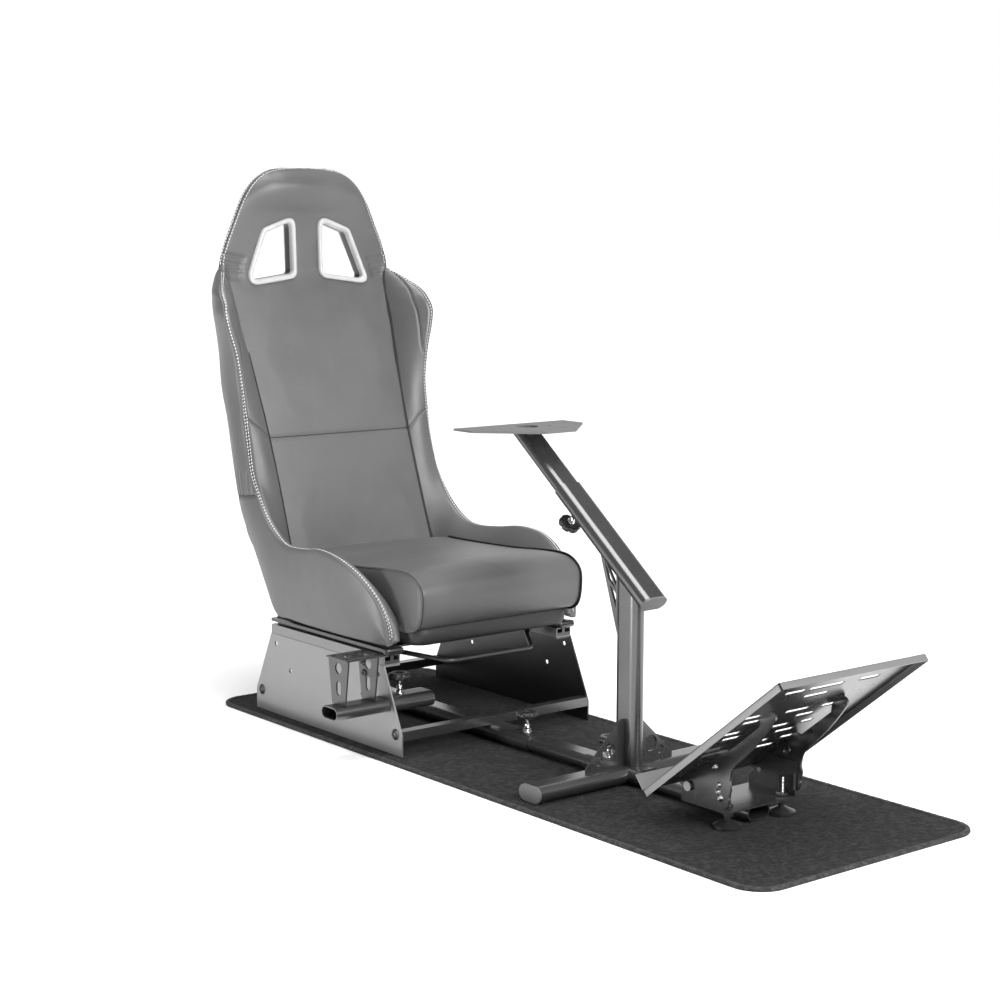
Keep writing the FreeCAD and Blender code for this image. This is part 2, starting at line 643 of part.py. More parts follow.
def side_gusset(label, sign):
    # Pierced web between the upright's flat side and the foot tube.
    body = new_body(label, ("0", "column_at + gusset_sheet / 2", "tube_top"))
    web = new_sketch(body, "XZ_Plane")
    root = "tube_height / 2"
    polygon(web, [(f"{sign}({x})", y) for x, y in (
        (root, "0"), (f"{root} + gusset_foot", "0"), (f"{root} + gusset_foot", "gusset_nose"),
        (f"{root} + gusset_nose", "gusset_rise"), (root, "gusset_rise"))])
    pad(body, web, "gusset_sheet")
    holes = new_sketch(body, "XZ_Plane")
    for name in ("big", "small"):
        circle(holes, (f"{sign}({root} + gusset_{name}_out)", f"gusset_{name}_up"), f"gusset_{name}_hole")
    cut(body, holes)


def truss_gusset():
    # Long web under the arm, lightened by three triangles.
    low = f"({arm_underside(column_rear)} - truss_drop)"
    body = new_body("truss_gusset", ("-truss_sheet / 2", column_rear, low))
    web = new_sketch(body, "YZ_Plane")
    tip = "(truss_drop + truss_reach * tan(arm_tilt))"
    polygon(web, [("0", "0"), ("truss_reach", tip), ("0", "truss_drop")])
    pad(body, web, "truss_sheet")

    def near(share):
        return ("truss_band", f"truss_drop * {share}")

    def far(share):
        return (f"truss_reach * {share} - truss_band * 0.9", f"{tip} * {share}")

    windows = new_sketch(body, "YZ_Plane")
    polygon(windows, [near(0.46), far(0.58), near(0.66)])
    polygon(windows, [far(0.63), far(0.82), near(0.71)])
    polygon(windows, [near(0.76), far(0.86), near(0.93)])
    cut(body, windows)


def wheel_arm():
    start = "(arm_length - arm_insert)"
    body = new_body("arm_slip_tube", arm_spot(start), arm_turn)
    sketch = new_sketch(body, "XY_Plane")
    oval_section(sketch, "slip_width", "slip_height", "tube_wall")
    top = f"((wheel_level - arm_low_level) / {arm_rise} - {start})"
    pad(body, sketch, f"{top} + slip_height / {arm_rise}")
    mitre = new_sketch(body, "YZ_Plane")
    reach = "slip_height"
    low, high = (f"({top} {sign} {reach} / tan(arm_tilt))" for sign in "-+")
    polygon(mitre, [(f"-{reach}", low), (reach, high), (reach, f"2 * {high}"), (f"-{reach}", f"2 * {high}")])
    cut(body, mitre)


wheel_at = "(arm_low + (wheel_level - arm_low_level) / tan(arm_tilt))"


def wheel_plate():
    body = new_body("wheel_plate", ("0", wheel_at, "wheel_level"))
    sketch = new_sketch(body, "XY_Plane")
    shoulder = "wheel_rear - wheel_side"
    polygon(sketch, [
        ("-wheel_half", "wheel_rear"), ("-wheel_half", shoulder), ("-wheel_nose", "-wheel_front"),
        ("wheel_nose", "-wheel_front"), ("wheel_half", shoulder), ("wheel_half", "wheel_rear")])
    pad(body, sketch, "wheel_sheet")
    holes = new_sketch(body, "XY_Plane")
    circle(holes, ("0", "-wheel_eye_ahead"), "wheel_eye")
    for group in ("wheel_bolt", "wheel_inner"):
        for side in "-+":
            for row in "-+":
                circle(holes, (f"0 {side} {group}_half", f"-{group}_ahead {row} {group}_pitch / 2"),
                       "wheel_bolt_rad")
    cut(body, holes)


slip_crest = "(shift_level + slip_height / 2)"
shift_deck = "(shift_level + slip_height / 2 + leg_rise)"


def shifter_leg(label, place_x):
    body = new_body(label, (f"-{place_x}", "shift_at", slip_crest))
    web = new_sketch(body, "YZ_Plane")
    polygon(web, [("-leg_foot / 2", "0"), ("leg_foot / 2", "0"), ("leg_head / 2", "leg_rise"),
                  ("-leg_head / 2", "leg_rise")])
    pad(body, web, "leg_sheet")
    holes = new_sketch(body, "YZ_Plane")
    circle(holes, ("0", "leg_rise - leg_eye_drop"), "leg_eye")
    oval(holes, ("0", "leg_slot_low + leg_slot_length / 2"), "leg_slot_length / 2", "leg_slot", upright=True)
    cut(body, holes)


def shifter_plate():
    body = new_body("shifter_plate", ("shift_plate_width / 2 - shift_tip", "shift_at", shift_deck))
    sketch = new_sketch(body, "XY_Plane")
    rectangle(sketch, ("-shift_plate_width / 2", "-shift_plate_depth / 2"),
              ("shift_plate_width / 2", "shift_plate_depth / 2"))
    pad(body, sketch, "shift_plate_sheet")
    holes = new_sketch(body, "XY_Plane")
    for side in "-+":
        for row in "-+":
            circle(holes, (f"0 {side} shift_bolt_wide / 2", f"0 {row} shift_bolt_deep / 2"),
                   "shift_bolt_rad")
    cut(body, holes)


def socket_strap():
    # Bent strip from the socket's flat top up to the underside of the side plate's flange.
    body = new_body("socket_strap", ("-strap_at - strap_width / 2", "shift_at", "0"))
    sketch = new_sketch(body, "YZ_Plane")
    seat, under = "(shift_level + tube_height / 2)", "(plate_top - plate_sheet)"
    polygon(sketch, [
        ("-strap_sheet * 2", seat), ("strap_foot + strap_sheet", seat),
        ("strap_foot + strap_lean + strap_sheet", under), ("strap_foot + strap_lean", under),
        ("strap_foot", f"{seat} + strap_sheet"), ("-strap_sheet * 2", f"{seat} + strap_sheet")])
    pad(body, sketch, "strap_width")


def pedal_channel():
    body = new_body("pedal_channel", ("0", "0", "deck_level"))
    side = new_sketch(body, "YZ_Plane")
    polygon(side, [
        ("pivot_at + channel_behind", "0"), ("pivot_at - channel_ahead", "0"),
        ("pivot_at - channel_ahead", "channel_high"), ("pivot_at - channel_slope", "channel_high"),
        ("pivot_at + channel_behind", "channel_low")])
    pad(body, side, "2 * channel_half", middle=True)
    inside = new_sketch(body, "XZ_Plane")
    wall = "(channel_half - channel_sheet)"
    rectangle(inside, (f"-{wall}", "channel_sheet"), (wall, "channel_high + 1"))
    cut(body, inside)
    studs = new_sketch(body, "XY_Plane")
    for sign in "-+":
        circle(studs, (f"0 {sign} foot_at_half", "foot_at"), "stud_rad + stud_gap")
    cut(body, studs)
    pins = new_sketch(body, "YZ_Plane")
    circle(pins, ("pivot_at", "pivot_level - deck_level"), "pivot_rad + bracket_gap")
    cut(body, pins)


def levelling_foot(label, sign):
    body = new_body(label, (f"{sign}foot_at_half", "foot_at", "mat_thick + slide_gap"))
    half = new_sketch(body, "XZ_Plane")
    polygon(half, [
        ("0", "0"), ("foot_disc", "0"), ("foot_disc", "foot_disc_thick"),
        ("stud_rad", "3 * foot_disc_thick"), ("stud_rad", "stud_top - mat_thick"),
        ("0", "stud_top - mat_thick")])
    turned = body.newObject("PartDesign::Revolution", "Turned")
    turned.Profile = half
    turned.ReferenceAxis = (half, ["V_Axis"])
    turned.Angle = 360
    doc.recompute()


def pivot_bolt(label, side):
    # Shouldered bolt through the channel wall and the tray bracket.
    sign = "-" if side < 0 else ""
    body = new_body(label, (f"{sign}(channel_half - channel_sheet)", "pivot_at", "pivot_level"))
    shank = new_sketch(body, "YZ_Plane")
    grip = "(channel_sheet + bracket_sheet + 2 * bracket_gap)"
    circle(shank, ("0", "0"), "pivot_rad")
    pad(body, shank, f"{grip} + pivot_head / 2", back=side < 0)
    head = new_sketch(body, "YZ_Plane", f"{sign}{grip}")
    circle(head, ("0", "0"), "2 * pivot_rad")
    pad(body, head, "pivot_head", back=side < 0)


# The tray and its brackets are drawn about the pivot: Y runs up the plate, Z out of its underside.
tray_pose = (("0", "pivot_at", "pivot_level"), ((1, 0, 0), "180 - tray_tilt"))
tray_face = "-(tray_lift + tray_sheet)"


def pedal_plate():
    # Folded tray: flanges turned down on three edges, a heel lip turned up on the fourth, slots in rows.
    body = new_body("pedal_plate", *tray_pose)
    low, high = "-tray_back", "(tray_length - tray_back)"
    face = new_sketch(body, "XY_Plane", tray_face)
    rectangle(face, ("-tray_half", low), ("tray_half", high))
    pad(body, face, "tray_sheet")
    flange = new_sketch(body, "XY_Plane", tray_face)
    inner = "(tray_half - tray_sheet)"
    polygon(flange, [
        ("-tray_half", low), (f"-{inner}", low), (f"-{inner}", f"{high} - tray_sheet"),
        (inner, f"{high} - tray_sheet"), (inner, low), ("tray_half", low), ("tray_half", high),
        ("-tray_half", high)])
    pad(body, flange, "tray_flange")
    lip = new_sketch(body, "XY_Plane", tray_face)
    rectangle(lip, ("-tray_half", low), ("tray_half", f"{low} + tray_sheet"))
    pad(body, lip, "heel_lip", back=True)
    top_row = new_sketch(body, "XY_Plane", tray_face)
    for across, half, up in (
            ("-slot_top_side", "slot_top_short", "slot_top_up"),
            ("-slot_top_shift", "slot_top_long", "slot_top_up"),
            ("slot_top_side", "slot_top_short", "slot_top_up"),
            ("-slot_top_shift", "slot_next_half", "slot_top_up - slot_next_drop")):
        slot(top_row, across, half, up)
    cut(body, top_row)
    group = new_sketch(body, "XY_Plane", tray_face)
    for name in ("one", "two", "three", "four", "five"):
        slot(group, f"slot_{name}_at", f"slot_{name}_half", f"slot_{name}_up")
    slots = cut(body, group)
    pattern = body.newObject("PartDesign::LinearPattern", "Rows")
    pattern.Originals = [slots]
    pattern.Direction = (group, ["V_Axis"])
    bind(pattern, "Length", "slot_pitch * (slot_rows - 1)")
    bind(pattern, "Occurrences", "slot_rows")
    body.Tip = pattern
    doc.recompute()


def slot(sketch, across, half, up):
    rectangle(sketch, (f"{across} - {half}", f"{up} - slot_width / 2"),
              (f"{across} + {half}", f"{up} + slot_width / 2"))


def pedal_bracket(label, side):
    # Sheet web: pivots at the rear and clamps at its round toe; a bowed arm holds the tray's far end.
    body = new_body(label, *tray_pose)
    sign = "-" if side < 0 else ""
    web = new_sketch(body, "YZ_Plane", f"{sign}(channel_half + bracket_gap)")

    def below(drop):
        return f"{drop} - tray_lift"

    top, toe = "-tray_lift", "bracket_drop - tray_lift"
    polygon(web, [
        ("-bracket_tail", top), ("bracket_root", top),
        ("bracket_root + bracket_notch", below("bracket_notch")),
        ("bracket_tip - bracket_notch", below("bracket_notch")), ("bracket_tip", top),
        ("bracket_arm", top), ("bracket_arm", below("bracket_tip_drop")),
        ("bracket_waist", below("bracket_waist_drop")), ("bracket_neck", below("bracket_neck_drop")),
        ("bracket_toe + bracket_toe_half", toe), ("bracket_toe - bracket_toe_half", toe),
    ], {5: "bracket_tip_rad", 6: "bracket_bow", 7: "-bracket_waist_rad", 9: "bracket_toe_rad"})
    pad(body, web, "bracket_sheet", back=side < 0)
    holes = new_sketch(body, "YZ_Plane")
    circle(holes, ("0", "0"), "pivot_rad + bracket_gap")
    circle(holes, ("bracket_toe", below("bracket_hole_drop")), "bracket_hole")
    oval(holes, ("bracket_slot_at", below("bracket_slot_drop")), "bracket_hole", "bracket_hole")
    cut(body, holes)


floor_mat()
for node_end, node_side, node_sign in (("right", -1, "-"), ("left", 1, "")):
    side_plate(f"side_plate_{node_end}", node_side)
    lower_rail(f"lower_rail_{node_end}", node_sign)
    upper_rail(f"upper_rail_{node_end}", node_sign)
    side_wing(f"seat_wing_{node_end}", node_side)
    bezel(f"harness_bezel_{node_end}", str(node_side))
    column_foot(f"column_foot_{node_end}", node_side)
    cap_start = "foot_half" if node_side > 0 else "-foot_half - cap_thick"
    tube_cap(f"foot_cap_{node_end}", (cap_start, "column_at", "spine_mid"), lie_across)
    side_gusset(f"side_gusset_{node_end}", node_sign)
    levelling_foot(f"levelling_foot_{node_end}", node_sign)
    pivot_bolt(f"pivot_bolt_{node_end}", node_side)
    pedal_bracket(f"pedal_bracket_{node_end}", node_side)
cross_bar("front_cross_bar", "plate_front + bar_inset")
cross_bar("rear_cross_bar", "plate_rear - bar_inset")
outer_tube("spine_tube", "plate_rear - spine_front", ("0", "spine_front", "spine_mid"), lie_back)
star_knob("spine_knob", ("0", "spine_front + spine_knob_back", "tube_top"))
seat_pan()
release_bar()
seat_back()
seat_cushion()
outer_tube("column_sleeve", "sleeve_front + sleeve_rear",
           ("0", "column_at - sleeve_front", "spine_mid"), lie_back)
column_upright()
truss_gusset()
star_knob("column_knob", ("0", "column_at + column_knob_back", "tube_top"))
tube_cap("arm_cap", arm_spot("0"), arm_turn)
outer_tube("arm_tube", "arm_length - cap_thick", arm_spot("cap_thick"), arm_turn)
star_knob("arm_knob", arm_spot("arm_length - arm_knob_back", "tube_height / 2"),
          ((1, 0, 0), "180 + arm_tilt"))
wheel_arm()
wheel_plate()
outer_tube("shifter_socket", "plate_inner - socket_inner",
           ("-plate_inner", "shift_at", "shift_level"), lie_across)
socket_strap()
star_knob("shifter_knob", ("-shift_knob_at", "shift_at", "shift_level + tube_height / 2"))
slip_tube("shifter_tube", "shift_tip - plate_inner + shift_insert",
          ("-shift_tip", "shift_at", "shift_level"), lie_across)
shifter_leg("shifter_leg_outer", "leg_outer")
shifter_leg("shifter_leg_inner", "leg_inner")
shifter_plate()
slip_tube("spine_slip_tube", "spine_front + spine_insert + spine_ahead - pivot_at",
          ("0", "pivot_at - spine_ahead", "spine_mid"), lie_back)
pedal_channel()
pedal_plate()

doc.recompute()
for item in doc.Objects:
    if "Invalid" in item.State or "Error" in item.State:
        raise ValueError(f"{item.Name} failed: {item.State}")
for item in sub_parts:
    if item.Shape.isNull() or not item.Shape.isValid():
        raise ValueError(f"{item.Label} has no valid shape")
os.makedirs("parts", exist_ok=True)
for item in sub_parts:
    item.Shape.exportStep(f"parts/{item.Label}.step")
print(len(sub_parts), "sub-parts written")
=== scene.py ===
import bmesh
import bpy
import math
from mathutils import Matrix, Vector, kdtree, noise
from mathutils.bvhtree import BVHTree


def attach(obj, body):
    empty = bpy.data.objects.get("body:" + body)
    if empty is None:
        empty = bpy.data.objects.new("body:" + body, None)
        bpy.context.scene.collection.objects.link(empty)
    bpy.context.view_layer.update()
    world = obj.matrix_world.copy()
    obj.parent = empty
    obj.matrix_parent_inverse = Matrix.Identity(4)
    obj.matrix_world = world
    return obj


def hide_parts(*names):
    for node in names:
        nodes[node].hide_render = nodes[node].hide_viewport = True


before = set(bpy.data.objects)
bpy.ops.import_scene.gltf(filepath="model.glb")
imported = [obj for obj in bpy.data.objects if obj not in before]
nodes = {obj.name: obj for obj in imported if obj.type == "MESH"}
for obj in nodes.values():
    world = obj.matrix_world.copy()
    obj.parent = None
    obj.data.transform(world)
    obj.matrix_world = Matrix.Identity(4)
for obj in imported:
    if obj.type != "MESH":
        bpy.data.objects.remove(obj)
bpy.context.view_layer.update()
scene = bpy.context.scene
mm = 0.001
print("frame loaded,", len(nodes), "nodes")


class Wire:  # a socket of a material, with arithmetic on values
    def __init__(self, tree, socket):
        self.tree = tree
        self.socket = socket

    def maths(self, operation, other, swap=False):
        node = self.tree.nodes.new("ShaderNodeMath")
        node.operation = operation
        for place, term in enumerate((other, self) if swap else (self, other)):
            if isinstance(term, Wire):
                self.tree.links.new(term.socket, node.inputs[place])
            else:
                node.inputs[place].default_value = term
        return Wire(self.tree, node.outputs[0])

    def __add__(self, other):
        return self.maths("ADD", other)

    def __radd__(self, other):
        return self.maths("ADD", other, True)

    def __sub__(self, other):
        return self.maths("SUBTRACT", other)

    def __rsub__(self, other):
        return self.maths("SUBTRACT", other, True)

    def __mul__(self, other):
        return self.maths("MULTIPLY", other)

    def __rmul__(self, other):
        return self.maths("MULTIPLY", other, True)


class Finish:  # one material, or the world, and the nodes behind it
    def __init__(self, name, owner=None, coords="Object"):
        self.material = owner or bpy.data.materials.new(name)
        self.material.use_nodes = True
        self.tree = self.material.node_tree
        self.shader = self.tree.nodes.get("Principled BSDF")
        self.place = self.node("TexCoord", output=coords)

    def node(self, kind, settings=None, inputs=None, output=0):
        made = self.tree.nodes.new("ShaderNode" + kind)
        for key, setting in (settings or {}).items():
            if key == "stops":
                for spot, stop in zip(made.color_ramp.elements, setting):
                    spot.position, spot.color = stop[0], (stop[1],) * 3 + (1,)
            else:
                setattr(made, key, setting)
        for key, term in (inputs or {}).items():
            if isinstance(term, Wire):
                self.tree.links.new(term.socket, made.inputs[key])
            else:
                made.inputs[key].default_value = term
        return Wire(self.tree, made.outputs[output])

    def cloud(self, scale, detail=3.0, rough=0.5, where=None):
        return self.node("TexNoise", None, {"Vector": where or self.place, "Scale": scale, "Detail": detail,
                                            "Roughness": rough})

    def cells(self, scale, feature="F1", where=None):
        return self.node("TexVoronoi", {"feature": feature}, {"Vector": where or self.place, "Scale": scale})

    def stretched(self, scale):
        return self.node("Mapping", None, {"Vector": self.place, "Scale": scale})

    def ramp(self, term, low, high, start=0.35, stop=0.65):  # two grey stops
        return self.node("ValToRGB", {"stops": ((start, low), (stop, high))}, {"Fac": term})

    def blend(self, share, first, second):
        return self.node("Mix", {"data_type": "RGBA"}, {0: share, 6: first, 7: second}, output=2)

    def give(self, **terms):
        for key, term in terms.items():
            name = {"color": "Base Color", "roughness": "Roughness", "metallic": "Metallic", "normal": "Normal",
                    "coat": "Coat Weight", "coatRoughness": "Coat Roughness", "ior": "IOR",
                    "sheen": "Sheen Weight", "specular": "Specular IOR Level"}[key]
            if isinstance(term, Wire):
                self.tree.links.new(term.socket, self.shader.inputs[name])
            else:
                self.shader.inputs[name].default_value = term

    def relief(self, height, depth, strength=1.0):
        self.give(normal=self.node("Bump", None, {"Height": height, "Distance": depth, "Strength": strength}))


def grey(level, warm=0.0):
    return (level * (1 + warm), level, level * (1 - warm), 1)


def vinylFinish(name, level, gloss=0.37, grain=1.0):
    f = Finish(name)
    pebble = f.cells(620)
    pores = f.cloud(1900, 2)
    wander = f.cloud(7, 4)
    soft = f.cloud(42, 3)
    crumple = f.cloud(16, 5, 0.55)
    f.give(color=f.blend(f.ramp(wander, 0.0, 1.0, 0.3, 0.7), grey(level * 0.9), grey(level * 1.1)),
           roughness=gloss + 0.16 * (wander - 0.5) + 0.10 * (soft - 0.5) + 0.08 * pebble, specular=0.55)
    f.relief(0.5 * pebble + 0.2 * pores + 0.6 * soft + 3.0 * crumple, 0.00045 * grain, 0.6)
    return f.material


def paintFinish(name, level, metal=0.0, gloss=0.3, coat=0.3, shine=0.8):
    f = Finish(name)
    flow = f.cloud(14, 4)
    peelMap = f.cloud(500, 2)
    fleck = f.cells(2600)
    rub = f.cloud(60, 5, 0.7)
    shade = f.blend(flow, grey(level * 0.92), grey(level * 1.08))
    f.give(color=f.blend(0.05 * fleck, shade, grey(min(level * 1.5, 0.9))), metallic=metal,
           roughness=gloss + 0.07 * (flow - 0.5) + 0.05 * (rub - 0.5), coat=coat, coatRoughness=0.16,
           specular=shine)
    f.relief(peelMap, 0.000001, 0.05)
    return f.material


def steelFinish(name, level, gloss, along):
    f = Finish(name)
    lines = f.cloud(900, 3, 0.6, f.stretched(along))
    smear = f.cloud(24, 4)
    f.give(color=f.blend(smear, grey(level * 0.86), grey(level * 1.06)), metallic=1.0,
           roughness=gloss + 0.12 * (lines - 0.5) + 0.10 * (smear - 0.5))
    f.relief(lines, 0.00006, 0.4)
    return f.material


def plasticFinish(name, level, gloss=0.42):
    f = Finish(name)
    spark = f.cloud(1400, 3)
    smear = f.cloud(30, 4)
    f.give(color=f.blend(smear, grey(level * 0.85), grey(level * 1.2)),
           roughness=gloss + 0.12 * (smear - 0.5) + 0.05 * (spark - 0.5))
    f.relief(spark, 0.0001, 0.4)
    return f.material


def carpetFinish(name, low, high):
    f = Finish(name)
    tuft = f.cells(330)
    curl = f.cloud(115, 5, 0.8)
    lay = f.cloud(26, 5, 0.65)
    tread = f.cloud(4.5, 3)
    speck = f.ramp(curl, 0.0, 1.0, 0.46, 0.62)
    share = 0.62 * speck + 0.28 * lay + 0.2 * (tread - 0.5)
    f.give(color=f.blend(share, grey(low), grey(high)), roughness=0.93 + 0.06 * (lay - 0.5), sheen=0.06,
           specular=0.06)
    f.relief(0.8 * curl + 0.6 * tuft + 0.5 * lay, 0.0022, 0.9)
    return f.material


def threadFinish(name, level):
    f = Finish(name)
    ply = f.cloud(1700, 2)
    f.give(color=f.blend(ply, grey(level * 0.8), grey(level)), roughness=0.6 + 0.2 * (ply - 0.5), sheen=0.2)
    f.relief(ply, 0.0003, 0.5)
    return f.material


finishes = {
    "vinyl": vinylFinish("seatVinyl", 0.085),
    "vinylPatch": vinylFinish("seatPatchVinyl", 0.10, 0.25, 0.4),
    # near-black vinyl: painted shade for the band under the cushion and for its piping
    "vinylInShade": vinylFinish("seatSkirtAndPipingShade", 0.012, 0.5),
    "seam": vinylFinish("seamShadow", 0.022, 0.6),
    "thread": threadFinish("stitchThread", 0.72),
    "tube": paintFinish("tubeGunmetal", 0.11, 0.80, 0.26),
    "plate": paintFinish("plateGrey", 0.20, 0.40, 0.36),
    "plateDark": paintFinish("plateShade", 0.020, 0.15, 0.34),
    "bright": paintFinish("plateBright", 0.13, 0.0, 0.62, 0.0, 0.12),
    # near-black tray paint, which also stands in for the shade under the pedal tray
    "tray": paintFinish("trayBlackAndUnderShade", 0.07, 0.70, 0.28),
    "black": paintFinish("slideBlack", 0.018, 0.1, 0.38),
    # grey of the slide rails, also used as painted light on the pedal tray's folded flanges
    "slide": paintFinish("slideGreyAndFlangeLight", 0.16, 0.30, 0.36),
    "chrome": steelFinish("footChrome", 0.80, 0.12, (1, 1, 0.1)),
    "bolt": steelFinish("boltZinc", 0.45, 0.30, (1, 1, 1)),
    "boltBlack": paintFinish("boltBlack", 0.012, 0.1, 0.30),
    "knob": plasticFinish("knobPlastic", 0.018, 0.30),
    "cap": plasticFinish("capPlastic", 0.10, 0.38),
    "bezel": plasticFinish("bezelSilver", 0.44, 0.26),
    # near-black plastic for the tunnel wall inside each harness hole: painted shade of the recess
    "bezelWallShade": plasticFinish("bezelWallShade", 0.03, 0.35),
    "carpet": carpetFinish("matCarpet", 0.0015, 0.036),
    "binding": carpetFinish("matBinding", 0.02, 0.075),
}
nodeFinish = {
    "plate": ["side_plate_right"],
    "plateDark": ["side_plate_left", "socket_strap", "shifter_leg_outer", "shifter_leg_inner", "shifter_plate"],
    "tube": ["front_cross_bar", "rear_cross_bar", "spine_tube", "shifter_socket", "spine_slip_tube",
             "shifter_tube", "column_sleeve", "column_foot_right", "column_foot_left", "column_upright",
             "side_gusset_right", "side_gusset_left", "truss_gusset", "arm_tube",
             "arm_slip_tube", "pedal_channel", "pedal_bracket_right", "pedal_bracket_left"],
    "bright": ["wheel_plate"],
        "slide": ["lower_rail_right", "lower_rail_left"],
    "black": ["upper_rail_right", "upper_rail_left", "seat_pan", "release_bar", "levelling_foot_right",
              "levelling_foot_left"],
    "cap": ["foot_cap_right", "foot_cap_left", "arm_cap"],
    "bolt": ["pivot_bolt_right", "pivot_bolt_left"],
}
for finishName, group in nodeFinish.items():
    for nodeName in group:
        for spot in nodes[nodeName].material_slots:
            spot.material = finishes[finishName]
print("materials made:", len(finishes))


def addPiece(name, points, faces, coats, body, faceCoat=None, smooth=True):
    mesh = bpy.data.meshes.new(name)
    mesh.from_pydata([Vector(p) * mm for p in points], [], faces)
    for coatName in coats:
        mesh.materials.append(finishes[coatName])
    for face in mesh.polygons:
        face.use_smooth = smooth
        if faceCoat:
            face.material_index = faceCoat[face.index]
    work = bmesh.new()
    work.from_mesh(mesh)
    bmesh.ops.recalc_face_normals(work, faces=work.faces)
    work.to_mesh(mesh)
    work.free()
    piece = bpy.data.objects.new(name, mesh)
    scene.collection.objects.link(piece)
    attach(piece, body)
    return piece


def loopFaces(rows, columns, closedRows=False, first=0):  # quads of a tube whose rows are closed loops
    faces = []
    for r in range(rows if closedRows else rows - 1):
        for c in range(columns):
            a, b = r * columns, (r + 1) % rows * columns
            d = (c + 1) % columns
            faces.append(tuple(first + i for i in (a + c, a + d, b + d, b + c)))
    return faces


def curveThrough(points, count):  # even steps along a Catmull-Rom line
    spots = [Vector(p) for p in points]
    spots = [spots[0] * 2 - spots[1]] + spots + [spots[-1] * 2 - spots[-2]]
    fine = []
    for a, b, c, d in zip(spots, spots[1:], spots[2:], spots[3:]):
        for k in range(16):
            t = k / 16
            fine.append(0.5 * (2 * b + (c - a) * t + (2 * a - 5 * b + 4 * c - d) * t * t
                               + (3 * b - a - 3 * c + d) * t ** 3))
    fine.append(spots[-2])
    return evenSteps(fine, count)


def evenSteps(line, count):
    reach = [0.0]
    for a, b in zip(line, line[1:]):
        reach.append(reach[-1] + (b - a).length)
    out, k = [], 0
    for i in range(count):
        goal = reach[-1] * i / (count - 1)
        while k < len(line) - 2 and reach[k + 1] < goal:
            k += 1
        span = reach[k + 1] - reach[k]
        out.append(line[k].lerp(line[k + 1], (goal - reach[k]) / span if span else 0.0))
    return out


def between(table, at):  # smooth lookup in rows of (key, value ...)
    if at <= table[0][0]:
        return table[0][1:]
    for k, (low, high) in enumerate(zip(table, table[1:])):
        if at <= high[0]:
            span = high[0] - low[0]
            t = (at - low[0]) / span
            before, after = table[max(k - 1, 0)], table[min(k + 2, len(table) - 1)]
            out = []
            for j in range(1, len(low)):
                a, b = low[j], high[j]
                m = (b - before[j]) / (high[0] - before[0]) * span
                n = (after[j] - a) / (after[0] - low[0]) * span
                out.append(a + m * t + (3 * (b - a) - 2 * m - n) * t * t + (2 * (a - b) + m + n) * t ** 3)
            return tuple(out)
    return table[-1][1:]


def puff(piece, held, cap, pressure):  # swell the cover between its seams
    mesh = piece.data
    start = [v.co.copy() for v in mesh.vertices]
    group = piece.vertex_groups.new(name="held")
    group.add(held, 1.0, "REPLACE")
    cloth = piece.modifiers.new("cloth", "CLOTH")
    cloth.settings.quality = 4
    cloth.settings.mass = 0.4
    cloth.settings.tension_stiffness = 25
    cloth.settings.compression_stiffness = 25
    cloth.settings.bending_stiffness = 1.5
    cloth.settings.use_pressure = True
    cloth.settings.uniform_pressure_force = pressure
    cloth.settings.effector_weights.gravity = 0
    cloth.settings.vertex_group_mass = "held"
    cloth.point_cache.frame_start, cloth.point_cache.frame_end = 1, 14
    for step in range(1, 15):
        scene.frame_set(step)
    swollen = piece.evaluated_get(bpy.context.evaluated_depsgraph_get()).data
    moved = [v.co.copy() for v in swollen.vertices]
    piece.modifiers.remove(cloth)
    piece.vertex_groups.remove(group)
    scene.frame_set(1)
    for v, a, b in zip(mesh.vertices, start, moved):
        step = b - a
        if step.length > cap * mm:
            step *= cap * mm / step.length
        v.co = a + step
    mesh.update()


def settle(piece, change):  # make a modifier's result the mesh
    made = bpy.data.meshes.new_from_object(piece.evaluated_get(bpy.context.evaluated_depsgraph_get()))
    piece.modifiers.remove(change)
    old, piece.data = piece.data, made
    made.name = old.name + "Fine"
    bpy.data.meshes.remove(old)


def refine(piece):
    split = piece.modifiers.new("smooth", "SUBSURF")
    split.levels = split.render_levels = 1
    settle(piece, split)


def sink(piece, lines, width, depth):  # press seam lines into the cover
    spots = [p * mm for line in lines for p in line]
    tree = kdtree.KDTree(len(spots))
    for i, p in enumerate(spots):
        tree.insert(p, i)
    tree.balance()
    normals = [v.normal.copy() for v in piece.data.vertices]
    for v, n in zip(piece.data.vertices, normals):
        far = tree.find(v.co)[2] / (width * mm)
        if far < 3:
            v.co -= n * depth * mm * math.exp(-far * far)
    piece.data.update()


def coverOf(piece):
    work = bmesh.new()
    work.from_mesh(piece.data)
    tree = BVHTree.FromBMesh(work)
    work.free()
    return tree


def laidOn(cover, line, lift):  # a line dropped on a cover, `lift` mm above it
    out = []
    for p in line:
        spot, normal, _, _ = cover.find_nearest(p * mm)
        out.append((spot / mm + normal * lift, normal))
    return out


def cordPiece(name, lines, radius, coat, body, sides=6):
    points, faces = [], []
    for line in lines:
        first, count = len(points), len(line)
        for i, p in enumerate(line):
            run = (line[min(i + 1, count - 1)] - line[max(i - 1, 0)]).normalized()
            side = run.orthogonal().normalized() if i == 0 else (side - run * side.dot(run)).normalized()
            up = run.cross(side)
            for k in range(sides):
                a = 2 * math.pi * k / sides
                points.append(p + (side * math.cos(a) + up * math.sin(a)) * radius)
        faces += loopFaces(count, sides, first=first)
        faces.append(tuple(first + k for k in range(sides)))
        faces.append(tuple(first + (count - 1) * sides + k for k in range(sides)))
    return addPiece(name, points, faces, [coat], body)


